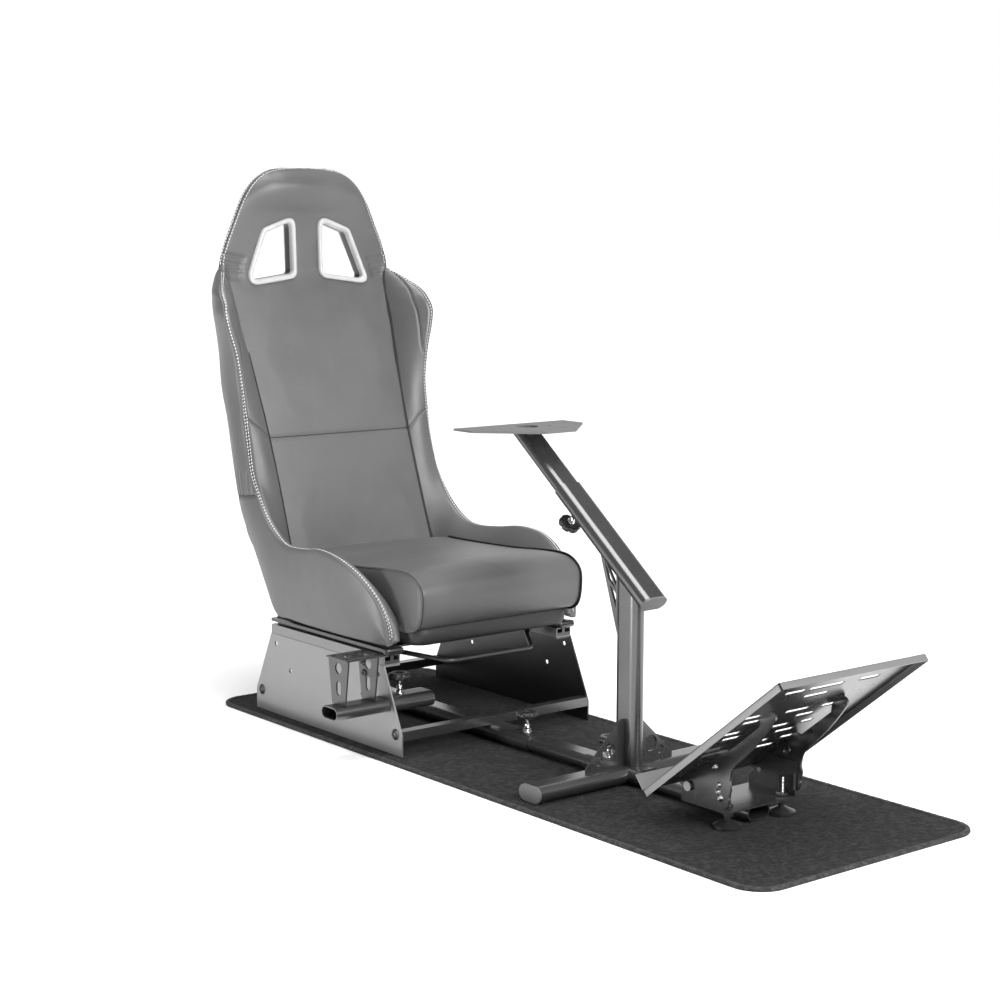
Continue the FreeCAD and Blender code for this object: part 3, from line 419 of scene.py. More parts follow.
def stitchPiece(name, rows, body, pitch=6.6, length=4.8, radius=0.85):
    points, faces = [], []
    for row in rows:
        line = [p for p, _ in row]
        total = sum((b - a).length for a, b in zip(line, line[1:]))
        count = max(2, int(total / pitch))
        spots = evenSteps(line, count * 4 + 1)
        tree = kdtree.KDTree(len(line))
        for i, p in enumerate(line):
            tree.insert(p, i)
        tree.balance()
        for i in range(count):
            middle = spots[i * 4 + 2]
            run = (spots[i * 4 + 3] - spots[i * 4 + 1]).normalized()
            normal = row[tree.find(middle)[1]][1]
            normal = (normal - run * normal.dot(run)).normalized()
            side = run.cross(normal)
            first = len(points)
            for share, size, rise in ((-0.5, 0.45, -0.7), (-0.3, 1, 0.1), (0.3, 1, 0.1), (0.5, 0.45, -0.7)):
                for k in range(5):
                    a = 2 * math.pi * k / 5
                    points.append(middle + run * (length * share) + normal * (rise * radius)
                                  + (side * math.cos(a) + normal * math.sin(a)) * (radius * size))
            faces += loopFaces(4, 5, first=first)
            faces.append(tuple(first + k for k in range(5)))
            faces.append(tuple(first + 15 + k for k in range(5)))
    return addPiece(name, points, faces, ["thread"], body)


# bucket seat: rows of rim, outer edge and inner seam from the front of the wing to the shoulder
seatSpec = {
    "rim": [(214, 200, 203), (216, 203, 230), (220, 211, 257), (226, 228, 286), (232, 256, 313), (238, 291, 335),
            (242, 336, 350), (238, 394, 354), (232, 450, 347), (226, 513, 344), (222, 553, 356), (221, 593, 385),
            (220, 625, 424), (221, 649, 467), (219, 664, 520), (219, 673, 567), (220, 683, 627), (228, 685, 688),
            (241, 688, 735), (247, 692, 767), (243, 701, 789), (238, 720, 809), (219, 751, 832), (200, 780, 850)],
    "outer": [(213, 204, 199), (216, 214, 198), (221, 230, 198), (226, 254, 198), (230, 286, 198), (233, 325, 198),
              (234, 370, 198), (234, 415, 198), (232, 460, 198), (229, 510, 199), (226, 561, 201), (222, 602, 249),
              (219, 645, 310), (218, 696, 385), (217, 723, 467), (217, 745, 560), (218, 764, 625), (219, 770, 690),
              (220, 779, 740), (221, 786, 772), (219, 792, 797), (216, 796, 815), (209, 799, 838), (201, 799, 854)],
    "inner": [(192, 204, 205), (190, 210, 225), (189, 222, 242), (188, 244, 256), (188, 274, 268), (188, 310, 276),
              (188, 350, 280), (187, 400, 282), (185, 450, 284), (180, 505, 286), (174, 550, 290), (169, 583, 300),
              (167, 604, 345), (166, 629, 415), (166, 655, 487), (168, 683, 565), (171, 704, 622), (175, 725, 682),
              (180, 745, 735), (181, 755, 765), (182, 764, 786), (183, 773, 808), (186, 779, 832), (192, 784, 850)],
    "steps": 236, "faceOut": 14, "faceIn": 20, "faceHid": 8, "bulge": 7, "bulgeIn": 5,
    "patch": (16.9, 22.5, 0.32), "patchColumns": 7, "stitchAside": 4.3, "crest": 6.0,
}


def lineAt(points, share):
    place = share * (len(points) - 1)
    k = min(int(place), len(points) - 2)
    t = place - k
    spots = [Vector(points[max(0, min(len(points) - 1, k + j))]) for j in (-1, 0, 1, 2)]
    a, b, c, d = spots
    return 0.5 * (2 * b + (c - a) * t + (2 * a - 5 * b + 4 * c - d) * t * t + (3 * b - a - 3 * c + d) * t ** 3)


def evenShares(points, count):  # shares of the control rows that step evenly along the rim
    fine = [lineAt(points, i / 2000) for i in range(2001)]
    reach = [0.0]
    for a, b in zip(fine, fine[1:]):
        reach.append(reach[-1] + (b - a).length)
    out, k = [], 0
    for i in range(count):
        goal = reach[-1] * i / (count - 1)
        while k < 1999 and reach[k + 1] < goal:
            k += 1
        span = reach[k + 1] - reach[k]
        out.append((k + ((goal - reach[k]) / span if span else 0)) / 2000)
    return out


def patchReach(share):  # how far in from the rim the smooth shoulder patch comes, and if it is there
    rows = len(seatSpec["rim"]) - 1
    low, high, wide = seatSpec["patch"]
    place = (share * rows - low) / (high - low)
    if 0 < place < 1:
        return 0.03 + wide * math.sin(math.pi * place) ** 0.55, True
    return min(0.3, 0.03 + 0.6 * max(-place, place - 1)), False


def wingSection(share):
    s = seatSpec
    rim, outer, inner = (lineAt(s[key], share) for key in ("rim", "outer", "inner"))
    out = Vector((1, 0, 0))
    face = (rim - inner).cross(lineAt(s["rim"], min(1, share + 0.01)) - lineAt(s["rim"], max(0, share - 0.01)))
    face.normalize()
    if face.dot(Vector((0, -1, 0.6))) < 0:
        face = -face
    swell = min(1, (1 - share) * 12)  # thins to the head's edge
    front = (rim - (outer + inner) / 2).normalized()
    across = outer - inner
    across = (across - front * across.dot(front)).normalized() * s["crest"] * swell
    rimOut, rimIn = rim + across - front, rim - across - front
    loop = []
    for i in range(s["faceOut"]):
        t = i / (s["faceOut"] - 1)
        loop.append(outer.lerp(rimOut, t) + out * s["bulge"] * swell * math.sin(math.pi * t))
    reach, _ = patchReach(share)
    for i in range(s["faceIn"]):
        n = s["patchColumns"]
        t = reach * i / n if i < n else reach + (1 - reach) * (i - n) / (s["faceIn"] - n)
        loop.append((rimIn if i else rim).lerp(inner, t) + face * s["bulgeIn"] * swell * math.sin(math.pi * t))
    for i in range(s["faceHid"]):
        t = i / s["faceHid"]
        loop.append(inner.lerp(outer, t))
    corner = s["faceOut"]
    loop[corner] = loop[corner] * 0.7 + (loop[corner - 1] + loop[corner + 1]) * 0.15
    return loop


def seatWing(side):
    s = seatSpec
    end = "left" if side > 0 else "right"
    shares = evenShares(s["rim"], s["steps"])
    columns = s["faceOut"] + s["faceIn"] + s["faceHid"]
    sections = [wingSection(share) for share in shares]
    points = [(side * p.x, p.y, p.z) for section in sections for p in section]
    faces = loopFaces(len(shares), columns)
    edge = s["faceOut"] + s["patchColumns"]
    coats = [int(s["faceOut"] <= c < edge and patchReach(share)[1]) for share in shares[:-1] for c in range(columns)]
    faces.append(tuple(range(columns)))
    faces.append(tuple((len(shares) - 1) * columns + c for c in range(columns)))
    piece = addPiece("seatWing_" + end, points, faces, ["vinyl", "vinylPatch"], "seat", coats + [0, 0])
    held = [r * columns + c for r in range(len(shares)) for c in range(columns)
            if c >= s["faceOut"] + s["faceIn"] - 1 or abs(c - s["faceOut"]) < 2 or c == 0
            or r in (0, 1, len(shares) - 1)]
    puff(piece, held, 2.5, 1.5)
    refine(piece)
    cover = coverOf(piece)

    def traced(line, count=60):
        return [p for p, _ in laidOn(cover, evenSteps([Vector((side * x, y, z)) for x, y, z in line], count), 0)]

    rimLine = traced([lineAt(s["rim"], i / 700) for i in range(701)], 700)
    diagonal = traced([(166, 669, 530), (220, 676, 573)])
    band = traced([(232, 628, 426), (228, 708, 415)])
    patch = traced([section[edge] for share, section in zip(shares, sections) if patchReach(share)[1]], 160)
    gathers = [traced([(229, 640 + 14 * k, 429 - 2 * k), (229, 646 + 15 * k, 462 + 3 * (k % 2))], 20) for k in range(5)]
    sink(piece, [rimLine], 2.4, 2.6)
    sink(piece, [diagonal, band, patch], 2.6, 2.2)
    sink(piece, gathers, 3.4, 1.6)
    cover = coverOf(piece)
    fine = [[p for p, _ in laidOn(cover, line, -0.4)] for line in (diagonal[2:-2], band[2:-2], patch)]
    cordPiece("wingSeam_" + end, fine, 0.8, "seam", "seat")
    cordPiece("wingRim_" + end, [[p for p, _ in laidOn(cover, rimLine[4:-4], -0.5)]], 1.3, "seam", "seat")
    inner = [lineAt(s["inner"], i / 400) for i in range(190, 396 if side > 0 else 300)]
    cordPiece("wingInner_" + end, [[Vector((side * (p.x - 0.8), p.y - 0.2, p.z)) for p in inner]], 1.1, "seam", "seat")
    rows = []
    for lean in ("outer", "inner"):
        line = []
        for i in range(14, 696):
            rim, toward = lineAt(s["rim"], i / 700), lineAt(s[lean], i / 700)
            spot = rim + (toward - rim).normalized() * s["stitchAside"]
            line.append(Vector((side * spot.x, spot.y, spot.z)))
        rows.append(laidOn(cover, line, 0.2))
    stitchPiece("wingStitch_" + end, rows, "seat")
    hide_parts("seat_wing_" + end)


# the back and head: level, half of the front, front, rim, rear corner's half and place, rear middle
backSpec = {
    "rows": [(199, 178, 551, 553, 222, 556, 560), (249, 176, 569, 571, 221, 598, 604),
             (298, 173, 587, 589, 219, 634, 642), (346, 172, 604, 606, 217, 682, 690),
             (422, 171, 631, 633, 215, 709, 717), (467, 171, 647, 649, 215, 719, 728),
             (544, 172, 675, 677, 215, 737, 746), (620, 175, 702, 704, 216, 760, 769),
             (685, 180, 727, 729, 217, 766, 776), (735, 185, 744, 747, 218, 775, 785),
             (765, 186, 755, 758, 219, 782, 792), (804, 188, 769, 772, 216, 790, 800),
             (835, 192, 780, 783, 208, 796, 807), (850, 197, 784, 786, 202, 797, 810),
             (862, 198, 785, 787, 200, 796, 811), (880, 195, 786, 788, 196, 796, 812),
             (908, 185, 787, 789, 185.5, 796, 812), (942, 170, 787, 789, 170.5, 797, 812),
             (964, 160.5, 784, 789, 161, 797, 811), (985, 151, 774, 789, 151.5, 797, 810),
             (1004, 139.5, 766, 789, 140, 798, 809), (1020, 127, 765, 790, 127.5, 798, 808),
             (1036, 108, 771, 791, 108.5, 798, 805), (1049, 80, 783, 793, 80.5, 798, 802),
             (1054, 48, 793, 796, 48.5, 799, 801)],
    "front": 52, "edge": 6, "rear": 44, "step": 7.0, "tuck": 9, "crease": 529, "stitchAside": 4.3,
}


def backLoop(level):
    s = backSpec
    half, front, rim, cornerHalf, corner, rear = between(s["rows"], level)
    loop = []
    for i in range(s["front"]):
        t = -1 + 2 * i / s["front"]
        loop.append(Vector((half * t, front + (rim - front) * abs(t) ** (4 if level > 850 else 6), level)))
    for i in range(s["edge"]):
        t = i / s["edge"]
        loop.append(Vector((half + (cornerHalf - half) * t + 5 * t * (1 - t), rim + (corner - rim) * t, level)))
    for i in range(s["rear"]):
        t = 1 - 2 * i / s["rear"]
        loop.append(Vector((cornerHalf * t, rear - (rear - corner) * abs(t) ** 2.6, level)))
    for i in range(s["edge"]):
        t = 1 - i / s["edge"]
        loop.append(Vector((-(half + (cornerHalf - half) * t + 5 * t * (1 - t)), rim + (corner - rim) * t, level)))
    return loop


holeSpec = {  # corners of a harness hole at the outside of its bezel, seen from the front
    "corners": [(27, 835), (151, 819), (104, 933), (27, 961)], "round": 20, "steps": 10,
}


def roundedHole(inset, side):
    s = holeSpec
    corners = [Vector((x, z)) for x, z in s["corners"]]
    moved = []
    for i, c in enumerate(corners):
        a = (corners[i - 1] - c).normalized()
        b = (corners[(i + 1) % 4] - c).normalized()
        half = a.angle(b) / 2
        moved.append(c + (a + b).normalized() * inset / math.sin(half))
    line = []
    for i, c in enumerate(moved):
        a = (moved[i - 1] - c).normalized()
        b = (moved[(i + 1) % 4] - c).normalized()
        half = a.angle(b) / 2
        radius = max(s["round"] - inset, 5)
        reach = radius / math.tan(half)
        start, stop = c + a * reach, c + b * reach
        for k in range(s["steps"] + 1):
            t = k / s["steps"]
            line.append(start * (1 - t) ** 2 + c * 2 * t * (1 - t) + stop * t * t)
    return [Vector((side * p.x, p.y)) for p in line]


def insideHole(x, z):
    line = roundedHole(5.0, 1)
    inside = False
    for a, b in zip(line, line[1:] + line[:1]):
        if (a.y > z) != (b.y > z) and abs(x) < (b.x - a.x) * (z - a.y) / (b.y - a.y) + a.x:
            inside = not inside
    return inside


def seatBack():
    s = backSpec
    levels = []
    level = 199.0
    while level < 1054:
        levels.append(level)
        level += s["step"] if level < 1020 else (4.0 if level < 1046 else 2.0)
    levels.append(1054.0)
    columns = s["front"] + 2 * s["edge"] + s["rear"]
    points = []
    for level in levels:
        points += backLoop(level)
    faces = loopFaces(len(levels), columns)
    faces.append(tuple(range(columns)))
    faces.append(tuple((len(levels) - 1) * columns + c for c in range(columns)))

    def cut(face):
        spot = sum((Vector(points[i]) for i in face), Vector()) / len(face)
        return len(face) == 4 and insideHole(spot.x, spot.z)

    doomed = {i for i, face in enumerate(faces) if cut(face)}
    keptEdges = {pair for i, face in enumerate(faces) if i not in doomed for pair in zip(face, face[1:] + face[:1])}
    walls = []
    for front in (True, False):  # tuck the cover's cut edge into the hole from both sides
        links = {}
        for i in doomed:
            if (faces[i][0] % columns < s["front"]) == front:
                links.update({a: b for a, b in zip(faces[i], faces[i][1:] + faces[i][:1]) if (b, a) in keptEdges})
        for loop in chains(links):
            first, count = len(points), len(loop)
            points += [Vector(points[i]) + Vector((0, s["tuck"] if front else -s["tuck"], 0)) for i in loop]
            walls += [(loop[k], loop[(k + 1) % count], first + (k + 1) % count, first + k) for k in range(count)]
    kept = [face for i, face in enumerate(faces) if i not in doomed]
    piece = addPiece("seatBack", points, kept + walls, ["vinyl"], "seat")
    held = []
    for i, p in enumerate(points):
        column = i % columns
        nearHole = insideHole(p[0] * 0.97, p[2]) or any((Vector((p[0], p[2])) - c).length < 12 for c in holeRing)
        if (i >= columns * len(levels) or column >= s["front"] or column == 0 or nearHole
                or abs(p[2] - s["crease"]) < 4):
            held.append(i)
    puff(piece, held, 2, 1.2)
    refine(piece)
    return piece


def chains(links):
    loops, left = [], dict(links)
    while left:
        start, nextOne = left.popitem()
        loop = [start]
        while nextOne in left:
            loop.append(nextOne)
            nextOne = left.pop(nextOne)
        loops.append(loop)
    return loops


holeRing = [p for side in (-1, 1) for p in roundedHole(0, side)]


def dressBack(piece):
    s = backSpec
    cover = coverOf(piece)

    def onFront(x, z):
        spot, _, _, _ = cover.ray_cast(Vector((x, 0, z)) * mm, Vector((0, 1, 0)))
        return spot / mm

    crease = [onFront(x, s["crease"]) for x in range(-165, 166, 3)]
    sink(piece, [crease], 3.0, 3.2)
    side = [Vector((row[1], row[3], row[0])) for row in s["rows"] if row[0] > 855]
    arch = [Vector((-p.x, p.y, p.z)) for p in side] + [Vector((0, 797.5, 1054.4))] + side[::-1]
    arch = [p for p, _ in laidOn(cover, curveThrough(arch, 420), 0)]
    sink(piece, [arch], 2.4, 1.8)
    puckers = []
    for end in (-1, 1):
        for x0, z0, x1, z1 in ((156, 862, 190, 868), (158, 850, 184, 853), (150, 874, 190, 883), (160, 838, 182, 840)):
            puckers.append([onFront(end * (x0 + (x1 - x0) * t / 20), z0 + (z1 - z0) * t / 20) for t in range(21)])
    sink(piece, puckers, 4.6, 4.2)
    cover = coverOf(piece)
    seams = [[p for p, _ in laidOn(cover, line, -0.4)] for line in (crease, arch)]
    cordPiece("backSeam", seams, 1.1, "seam", "seat")
    rows = []
    for step in (-s["stitchAside"], s["stitchAside"]):
        moved = []
        for i, p in enumerate(arch):
            run = (arch[min(i + 1, len(arch) - 1)] - arch[max(i - 1, 0)]).normalized()
            normal = cover.find_nearest(p * mm)[1]
            moved.append(p + run.cross(normal).normalized() * step)
        rows.append(laidOn(cover, moved, 0.2))
    stitchPiece("headStitch", rows, "seat")
    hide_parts("seat_back")


bezelSpec = {  # steps in from the hole's edge and back from the cover
    "profile": [(-0.5, 2.5), (-0.3, -2.0), (1.2, -4.4), (4, -5.4), (7, -4.8), (9.2, -2.4), (9.8, 1), (10, 7), (10, 16),
                (10, 24), (9, 28.5), (5, 31), (1, 30), (-0.4, 25)],
    "wall": (7, 9),
}


def harnessBezel(side):
    s = bezelSpec
    end = "left" if side > 0 else "right"
    rings = [roundedHole(inset, side) for inset, _ in s["profile"]]
    points = []
    for ring, (_, depth) in zip(rings, s["profile"]):
        points += [Vector((p.x, between(backSpec["rows"], p.y)[1] + depth, p.y)) for p in ring]
    faces = loopFaces(len(rings), len(rings[0]), True)
    # the profile rows of the tunnel wall inside the hole take the near-black plastic as painted shade; the rest is the
    # silver bezel
    coats = [int(s["wall"][0] <= i // len(rings[0]) < s["wall"][1]) for i in range(len(faces))]
    piece = addPiece("harnessBezel_" + end, points, faces, ["bezel", "bezelWallShade"], "seat", coats)
    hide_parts("harness_bezel_" + end)


# cushion: its side profile, from the rear foot over the top and round the nose
cushionSpec = {
    "profile": [(588, 216), (594, 262), (597, 304), (570, 313), (500, 314), (420, 316), (340, 319), (275, 324),
                (222, 327), (185, 325), (160, 313), (149, 298), (148, 276), (152, 250), (164, 233), (192, 226),
                (260, 225), (400, 224), (530, 220)],
    "half": 187, "across": 46, "round": 150, "crown": 5, "edge": 6, "middle": (400, 272),
}


def seatCushion():
    s = cushionSpec
    spots = s["profile"] + s["profile"][:1]
    line = curveThrough([(0, y, z) for y, z in spots], s["round"] + 1)[:-1]
    count = len(line)
    inward = []
    for i in range(count):
        run = (line[(i + 1) % count] - line[i - 1]).normalized()
        inward.append(Vector((0, run.z, -run.y)))
    flat = s["half"] - s["edge"]
    stations = [(flat * (-1 + 2 * i / s["across"]), 0.0) for i in range(s["across"] + 1)]
    turns = [(flat + s["edge"] * math.sin(math.radians(a)), s["edge"] * (1 - math.cos(math.radians(a))))
             for a in (30, 60, 90)]
    stations = [(-x, inset) for x, inset in turns[::-1]] + stations + turns
    points = []
    for x, inset in stations:
        for p, n in zip(line, inward):
            rise = s["crown"] * (1 - (x / s["half"]) ** 2) if p.z > 300 else 0
            points.append(Vector((x, p.y + n.y * inset, p.z + n.z * inset + rise)))
    rings = [[r * count + c for c in range(count)] for r in range(len(stations))]
    faces = loopFaces(len(rings), count)
    middle = Vector((0, s["middle"][0], s["middle"][1]))
    held = [i for ring in rings[:3] + rings[-3:] for i in ring]
    for end, out in ((0, -1), (-1, 1)):  # side panels as rings that close on the middle
        last = rings[end]
        for share in (0.86, 0.7, 0.52, 0.34, 0.16):
            ring = []
            for i in rings[end]:
                p = points[i]
                core = Vector((p.x, middle.y + (p.y - middle.y) * 0.55, middle.z))
                q = core.lerp(p, share)
                ring.append(len(points))
                points.append(Vector((q.x + out * 2.5 * (1 - share), q.y, q.z)))
            faces += [(last[k], last[(k + 1) % count], ring[(k + 1) % count], ring[k]) for k in range(count)]
            last = ring
        faces += [(last[k], last[k + 1], last[-2 - k], last[-1 - k]) for k in range(count // 2 - 1)]
    piece = addPiece("seatCushion", points, faces, ["vinyl"], "seat")
    held += [i for i, p in enumerate(points) if p[2] < 232 or p[1] > 585]
    puff(piece, held, 2.5, 2.0)
    refine(piece)
    cover = coverOf(piece)
    pipes = []
    for side in (-1, 1):
        edge = [p + n * 1.5 + Vector((side * (s["half"] - 1.5), 0, 0)) for p, n in zip(line, inward)]
        kept = [p for p in edge if p.y < 560 and not (p.z < 229 and p.y > 185)]
        kept.sort(key=lambda p: math.atan2(p.z - middle.z, p.y - middle.y) % (2 * math.pi))
        pipes.append([p for p, _ in laidOn(cover, evenSteps(kept, 220), 0.3)])
    sink(piece, pipes, 4.2, 2.0)
    # piping in the near-black vinyl: painted shade along the cushion's side edges
    cordPiece("cushionPiping", pipes, 1.9, "vinylInShade", "seat", 8)
    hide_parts("seat_cushion")


skirtSpec = {"nose": 172, "rear": 560, "half": 182, "low": 197.5, "high": 232, "round": 30}


def cushionSkirt():
    s = skirtSpec
    outline = []
    for cx, cy, start in ((s["half"] - s["round"], s["rear"] - s["round"], 0),
                          (-s["half"] + s["round"], s["rear"] - s["round"], 90),
                          (-s["half"] + s["round"], s["nose"] + s["round"], 180),
                          (s["half"] - s["round"], s["nose"] + s["round"], 270)):
        for k in range(9):
            a = math.radians(start + 90 * k / 8)
            outline.append((cx + s["round"] * math.cos(a), cy + s["round"] * math.sin(a)))
    middle = (s["nose"] + s["rear"]) / 2
    points, rows = [], ((0.97, 0), (0.985, 0.1), (1, 0.3), (1, 0.6), (0.99, 0.85), (0.97, 1))
    for pull, share in rows:
        for x, y in outline:
            points.append((x * pull, middle + (y - middle) * pull, s["low"] + (s["high"] - s["low"]) * share))
    count = len(outline)
    faces = loopFaces(len(rows), count)
    faces.append(tuple(range(count)))
    faces.append(tuple((len(rows) - 1) * count + k for k in range(count)))
    # the band under the cushion in near-black vinyl: painted shade beneath the cushion
    addPiece("cushionSkirt", points, faces, ["vinylInShade"], "seat")


for wingSide in (-1, 1):
    seatWing(wingSide)
    harnessBezel(wingSide)
dressBack(seatBack())
seatCushion()
cushionSkirt()
print("seat made")

# carpet mat with a bound edge
matSpec = {"width": 506, "length": 1492, "corner": 52, "thick": 6, "step": 4.2, "pile": 0.9, "binding": 9}


def matOutline(inset, arc=10):
    s = matSpec
    r = s["corner"] - inset
    x, y = s["width"] / 2 - s["corner"], s["length"] / 2 - s["corner"]
    line = []
    for cx, cy, start in ((x, y, 0), (-x, y, 90), (-x, -y, 180), (x, -y, 270)):
        for k in range(arc + 1):
            a = math.radians(start + 90 * k / arc)
            line.append(Vector((cx + r * math.cos(a), cy + r * math.sin(a), 0)))
    return line


def floorMat():
    s = matSpec
    nx, ny = int(s["width"] / s["step"]), int(s["length"] / s["step"])
    points, faces = [], []
    halfX, halfY, corner = s["width"] / 2 - 1, s["length"] / 2 - 1, s["corner"]
    for j in range(ny + 1):
        for i in range(nx + 1):
            x, y = halfX * (2 * i / nx - 1), halfY * (2 * j / ny - 1)
            dx, dy = abs(x) - (halfX - corner), abs(y) - (halfY - corner)
            if dx > 0 and dy > 0:  # squeeze the grid's corner into the round
                far = max(dx, dy) / math.hypot(dx, dy)
                x = math.copysign(halfX - corner + dx * far, x)
                y = math.copysign(halfY - corner + dy * far, y)
            edge = i in (0, nx) or j in (0, ny)
            lump = noise.noise(Vector((x, y, 0)) / 7) + 0.6 * noise.noise(Vector((x, y, 9)) / 3)
            points.append((x, y, s["thick"] - 1.2 + (0 if edge else s["pile"] * lump * 0.6)))
    n = len(points)
    for j in range(ny):
        for i in range(nx):
            a = j * (nx + 1) + i
            faces.append((a, a + 1, a + nx + 2, a + nx + 1))
    ring = [i for i in range(nx + 1)] + [j * (nx + 1) + nx for j in range(1, ny + 1)]
    ring += [ny * (nx + 1) + i for i in range(nx - 1, -1, -1)] + [j * (nx + 1) for j in range(ny - 1, 0, -1)]
    for i in ring:
        points.append((points[i][0], points[i][1], 0.3))
    count = len(ring)
    faces += [(ring[k], ring[(k + 1) % count], n + (k + 1) % count, n + k) for k in range(count)]
    faces.append(tuple(n + k for k in range(count)))
    piece = addPiece("carpetMat", points, faces, ["carpet"], "base")
    rows = ((s["binding"], 5.6), (s["binding"] - 1.5, 6.4), (4, 6.7), (1.2, 6.0), (0.1, 4.2), (0.1, 1.8), (1.2, 0.3),
            (5, 0.1))
    edge = []
    for inset, level in rows:
        line = evenSteps(matOutline(inset) + matOutline(inset)[:1], 721)[:-1]
        for k, p in enumerate(line):
            wave = 0.35 * math.sin(k * 2.4) if 0 < inset < 8 else 0
            edge.append((p.x, p.y, level + wave))
    faces = []
    for r in range(len(rows) - 1):
        for k in range(720):
            d = (k + 1) % 720
            faces.append((r * 720 + k, r * 720 + d, (r + 1) * 720 + d, (r + 1) * 720 + k))
    tape = addPiece("matBinding", edge, faces, ["binding"], "base")
    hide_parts("floor_mat")


floorMat()
print("mat made")

# star knobs, one for each clamp
knobSpec = {
    "radius": 20, "stem": 26, "thick": 12, "lobes": 6, "depth": 3.6,
    "places": {"spine_knob": ((0, 80, 34.3), (0, 0, 1), "base"),
               "column_knob": ((0, -143, 34.3), (0, 0, 1), "column"),
               "shifter_knob": ((-184, 218, 107), (0, 0, 1), "base"),
               "arm_knob": ((0, -53.5, 453.3), (0, 0.6101, -0.7923), "column")},
}


def starKnob(name, at, axis, body):
    s = knobSpec
    turn = Vector((0, 0, 1)).rotation_difference(Vector(axis)).to_matrix()
    count = s["lobes"] * 12
    points, faces, coats = [], [], []
    base, top = s["stem"], s["stem"] + s["thick"]
    head = [(0.30, base + 1.5), (0.70, base + 1), (0.86, base), (0.96, base + 1.6), (1.0, base + 4.5), (0.99, base + 8),
            (0.93, base + 10.6), (0.84, top - 0.3), (0.66, top), (0.46, top - 0.2), (0.40, top - 1.6), (0.0, top - 1.8)]
    for share, level in head:
        for k in range(count):
            a = 2 * math.pi * k / count
            wave = abs(math.sin(a * s["lobes"] / 2))
            scallop = s["depth"] * max(0.0, 1 - wave * 1.6) * min(1, share * 1.1) ** 4
            r = s["radius"] * share - scallop
            points.append(Vector((r * math.cos(a), r * math.sin(a), level)))
    faces += loopFaces(len(head), count)
    coats += [0] * len(faces)
    first, sides = len(points), 24
    stem = [(0, 0.3), (8.5, 0.3), (8.5, 1.8), (7.6, 2.2), (7.4, 6.4), (6.2, 7.0), (4.6, 7.4), (4.6, base - 2),
            (7, base - 1.6), (7, base + 1.6), (0, base + 1.6)]
    for r, level in stem:
        for k in range(sides):
            a = 2 * math.pi * k / sides
            hexed = r / max(abs(math.cos((a % (math.pi / 3)) - math.pi / 6)), 0.5) * 0.9 if 2 < level < 6.9 else r
            points.append(Vector((hexed * math.cos(a), hexed * math.sin(a), level)))
    more = loopFaces(len(stem), sides, first=first)
    faces += more
    coats += [1] * len(more)
    points = [turn @ p + Vector(at) for p in points]
    piece = addPiece("knob_" + name, points, faces, ["knob", "chrome"], body, coats)
    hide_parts(name)


for knobName, (knobAt, knobAxis, knobBody) in knobSpec["places"].items():
    starKnob(knobName, knobAt, knobAxis, knobBody)
print("knobs made")

# pedal tray as thin folded sheet: places are across and up the plate, and out of its underside
traySpec = {
    "half": 164, "low": -14.5, "high": 348.5, "under": -13.6, "sheet": 1.7, "flange": 12, "lip": 28, "bend": 3,
    "pivot": (0, -426, 62), "tilt": 38.3, "slot": 11, "pitch": 55,
    "group": [(-115, 18, 112), (-101, 18, 92), (-10, 26, 104), (29, 20, 78), (63, 14, 100)],
    "top": [(-83, 22, 295), (-14, 38, 295), (83, 22, 295), (-14, 27, 267)],
}


def trayPoint(x, up, out):
    s = traySpec
    a = math.radians(s["tilt"])
    return Vector((x, s["pivot"][1] - up * math.cos(a) - out * math.sin(a),
                   s["pivot"][2] + up * math.sin(a) - out * math.cos(a)))


def foldStations(fold, length, sense):  # (place, drop) pairs from a flange's tip over its bend
    b = traySpec["bend"]
    tip = [(fold, sense * length), (fold, sense * (b + (length - b) / 2))]
    bend = [(fold - math.copysign(b * (1 - math.cos(a)), fold), sense * b * (1 - math.sin(a)))
            for a in (math.radians(d) for d in (0, 30, 60))]
    return tip + bend


